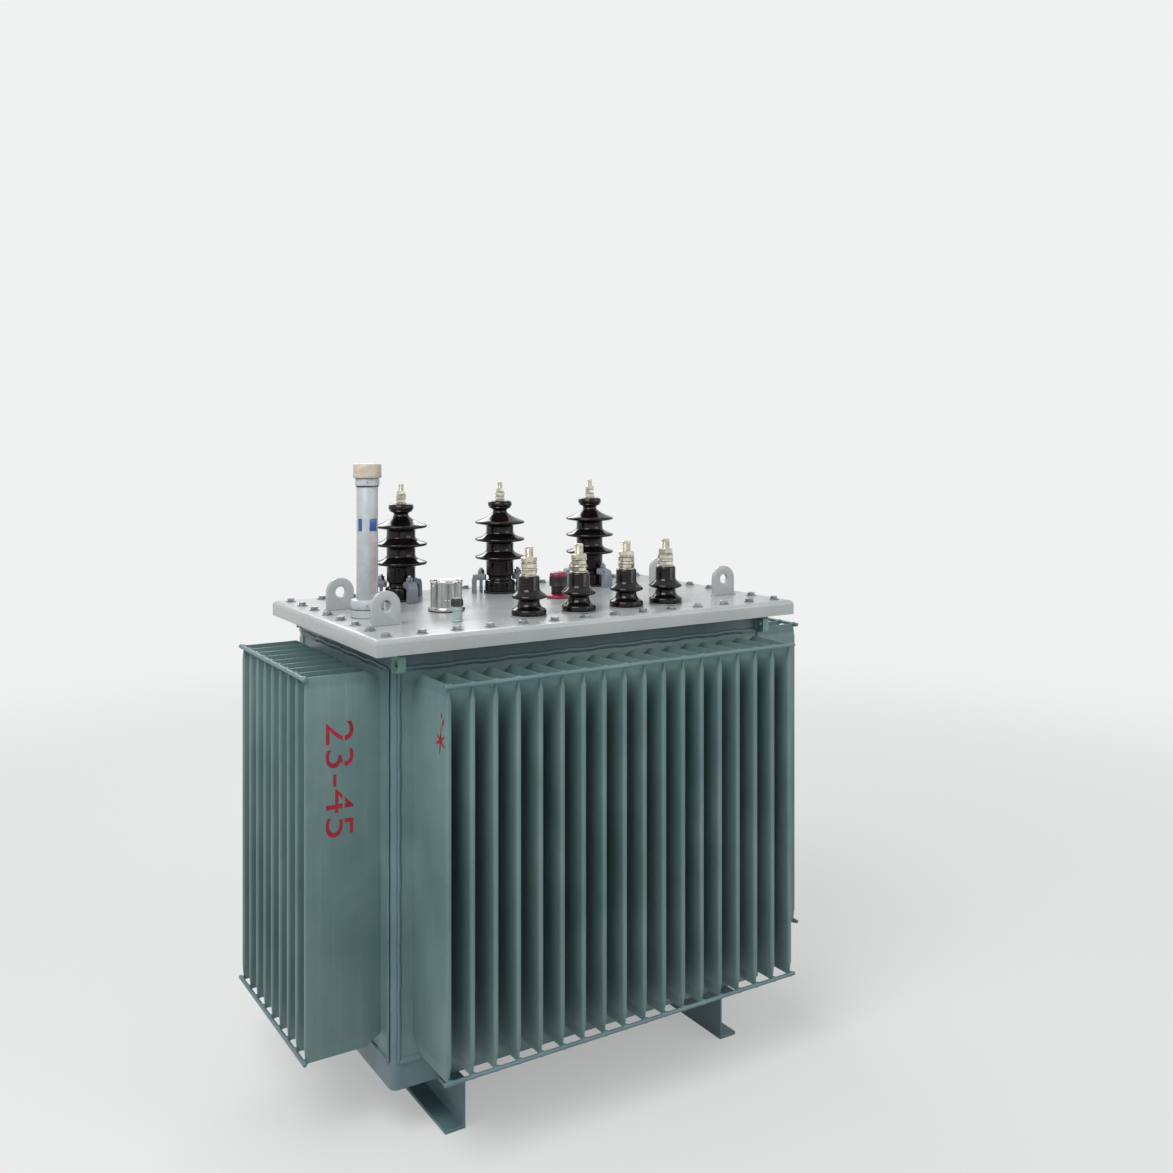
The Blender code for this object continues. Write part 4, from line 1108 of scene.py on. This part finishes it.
def make_floor():
    """A pale studio floor that runs out into the background. Near the object it is lit and keeps the shadow,
    and from 1.4 to 6 m away what is seen of it passes over into the background's own colour."""
    deselect()
    bpy.ops.mesh.primitive_plane_add(size=400.0, location=(0.0, 0.0, 0.0))
    floor = bpy.context.object
    floor.name = "floor"
    made, tree, shader = blank("pale_floor", Roughness=0.75)
    shader.inputs["Base Color"].default_value = hex_colour("#DDDDDA")
    pale = add(tree, "Emission", {"Color": hex_colour(BACKGROUND), "Strength": 1.0})
    place = add(tree, "TexCoord").outputs["Object"]
    away = add(tree, "VectorMath", links={0: place}, operation="LENGTH")
    fade = add(tree, "MapRange", {"From Min": 1.4, "From Max": 6.0, "To Min": 0.42, "To Max": 1.0},
               {"Value": away.outputs["Value"]}, interpolation_type="SMOOTHSTEP")
    share = add(tree, "Math", links={0: seen_directly(tree), 1: fade.outputs["Result"]}, operation="MULTIPLY")
    mixed = add(tree, "MixShader",
                links={0: share.outputs["Value"], 1: shader.outputs["BSDF"], 2: pale.outputs["Emission"]})
    tree.links.new(mixed.outputs["Shader"], tree.nodes["Material Output"].inputs["Surface"])
    floor.data.materials.append(made)


def make_lamp(name, at, aim, size, power):
    """A soft box that shines from one point towards another, in metres and watts."""
    lamp = bpy.data.lights.new(name, "AREA")
    lamp.shape = "RECTANGLE"
    lamp.size, lamp.size_y = size
    lamp.energy = power
    ob = bpy.data.objects.new(name, lamp)
    ob.location = at
    ob.rotation_euler = (Vector(aim) - Vector(at)).to_track_quat("-Z", "Y").to_euler()
    bpy.context.scene.collection.objects.link(ob)


def make_world():
    """Soft cool light all round. Camera, glossy and transmission rays see the pale background instead."""
    world = bpy.data.worlds.new("studio")
    bpy.context.scene.world = world
    world.use_nodes = True
    tree = world.node_tree
    sky = tree.nodes["Background"]
    sky.inputs["Color"].default_value = hex_colour("#DDE3E8")
    sky.inputs["Strength"].default_value = 0.55
    seen = add(tree, "Background", {"Color": hex_colour(BACKGROUND), "Strength": 1.0})
    which = add(tree, "MixShader",
                links={0: seen_directly(tree), 1: sky.outputs["Background"], 2: seen.outputs["Background"]})
    tree.links.new(which.outputs["Shader"], tree.nodes["World Output"].inputs["Surface"])


def make_camera():
    """Level camera at eye height, looking down only by its shift, as the fitted lines of the photo give. The
    eye is placed from the lid's near corner, in metres."""
    turn = radians(32.15)
    to_right = 0.4699
    back = 2.6248
    above = 0.455
    right = Vector((cos(turn), -sin(turn), 0.0))
    forward = Vector((sin(turn), cos(turn), 0.0))
    corner = Vector((LID_LOW.x, LID_LOW.y, LID_TOP))
    eye = corner + to_right * right - back * forward + Vector((0.0, 0.0, above))
    lens = bpy.data.cameras.new("camera")
    lens.sensor_width = 36.0
    lens.lens = 36.0
    lens.shift_y = -0.127
    ob = bpy.data.objects.new("camera", lens)
    ob.location = eye
    ob.rotation_euler = (pi / 2, 0.0, -turn)
    bpy.context.scene.collection.objects.link(ob)
    bpy.context.scene.camera = ob


make_floor()
make_world()
make_lamp("key", (-2.6, -1.6, 4.2), (0.0, 0.0, 0.9), (2.6, 2.6), 150)
make_lamp("fill", (2.8, -3.6, 2.6), (0.0, 0.0, 0.7), (3.0, 2.0), 45)
make_lamp("rim", (0.6, 3.4, 3.2), (0.0, 0.0, 1.1), (3.0, 1.4), 60)
make_camera()
bpy.context.scene.view_settings.view_transform = "Standard"
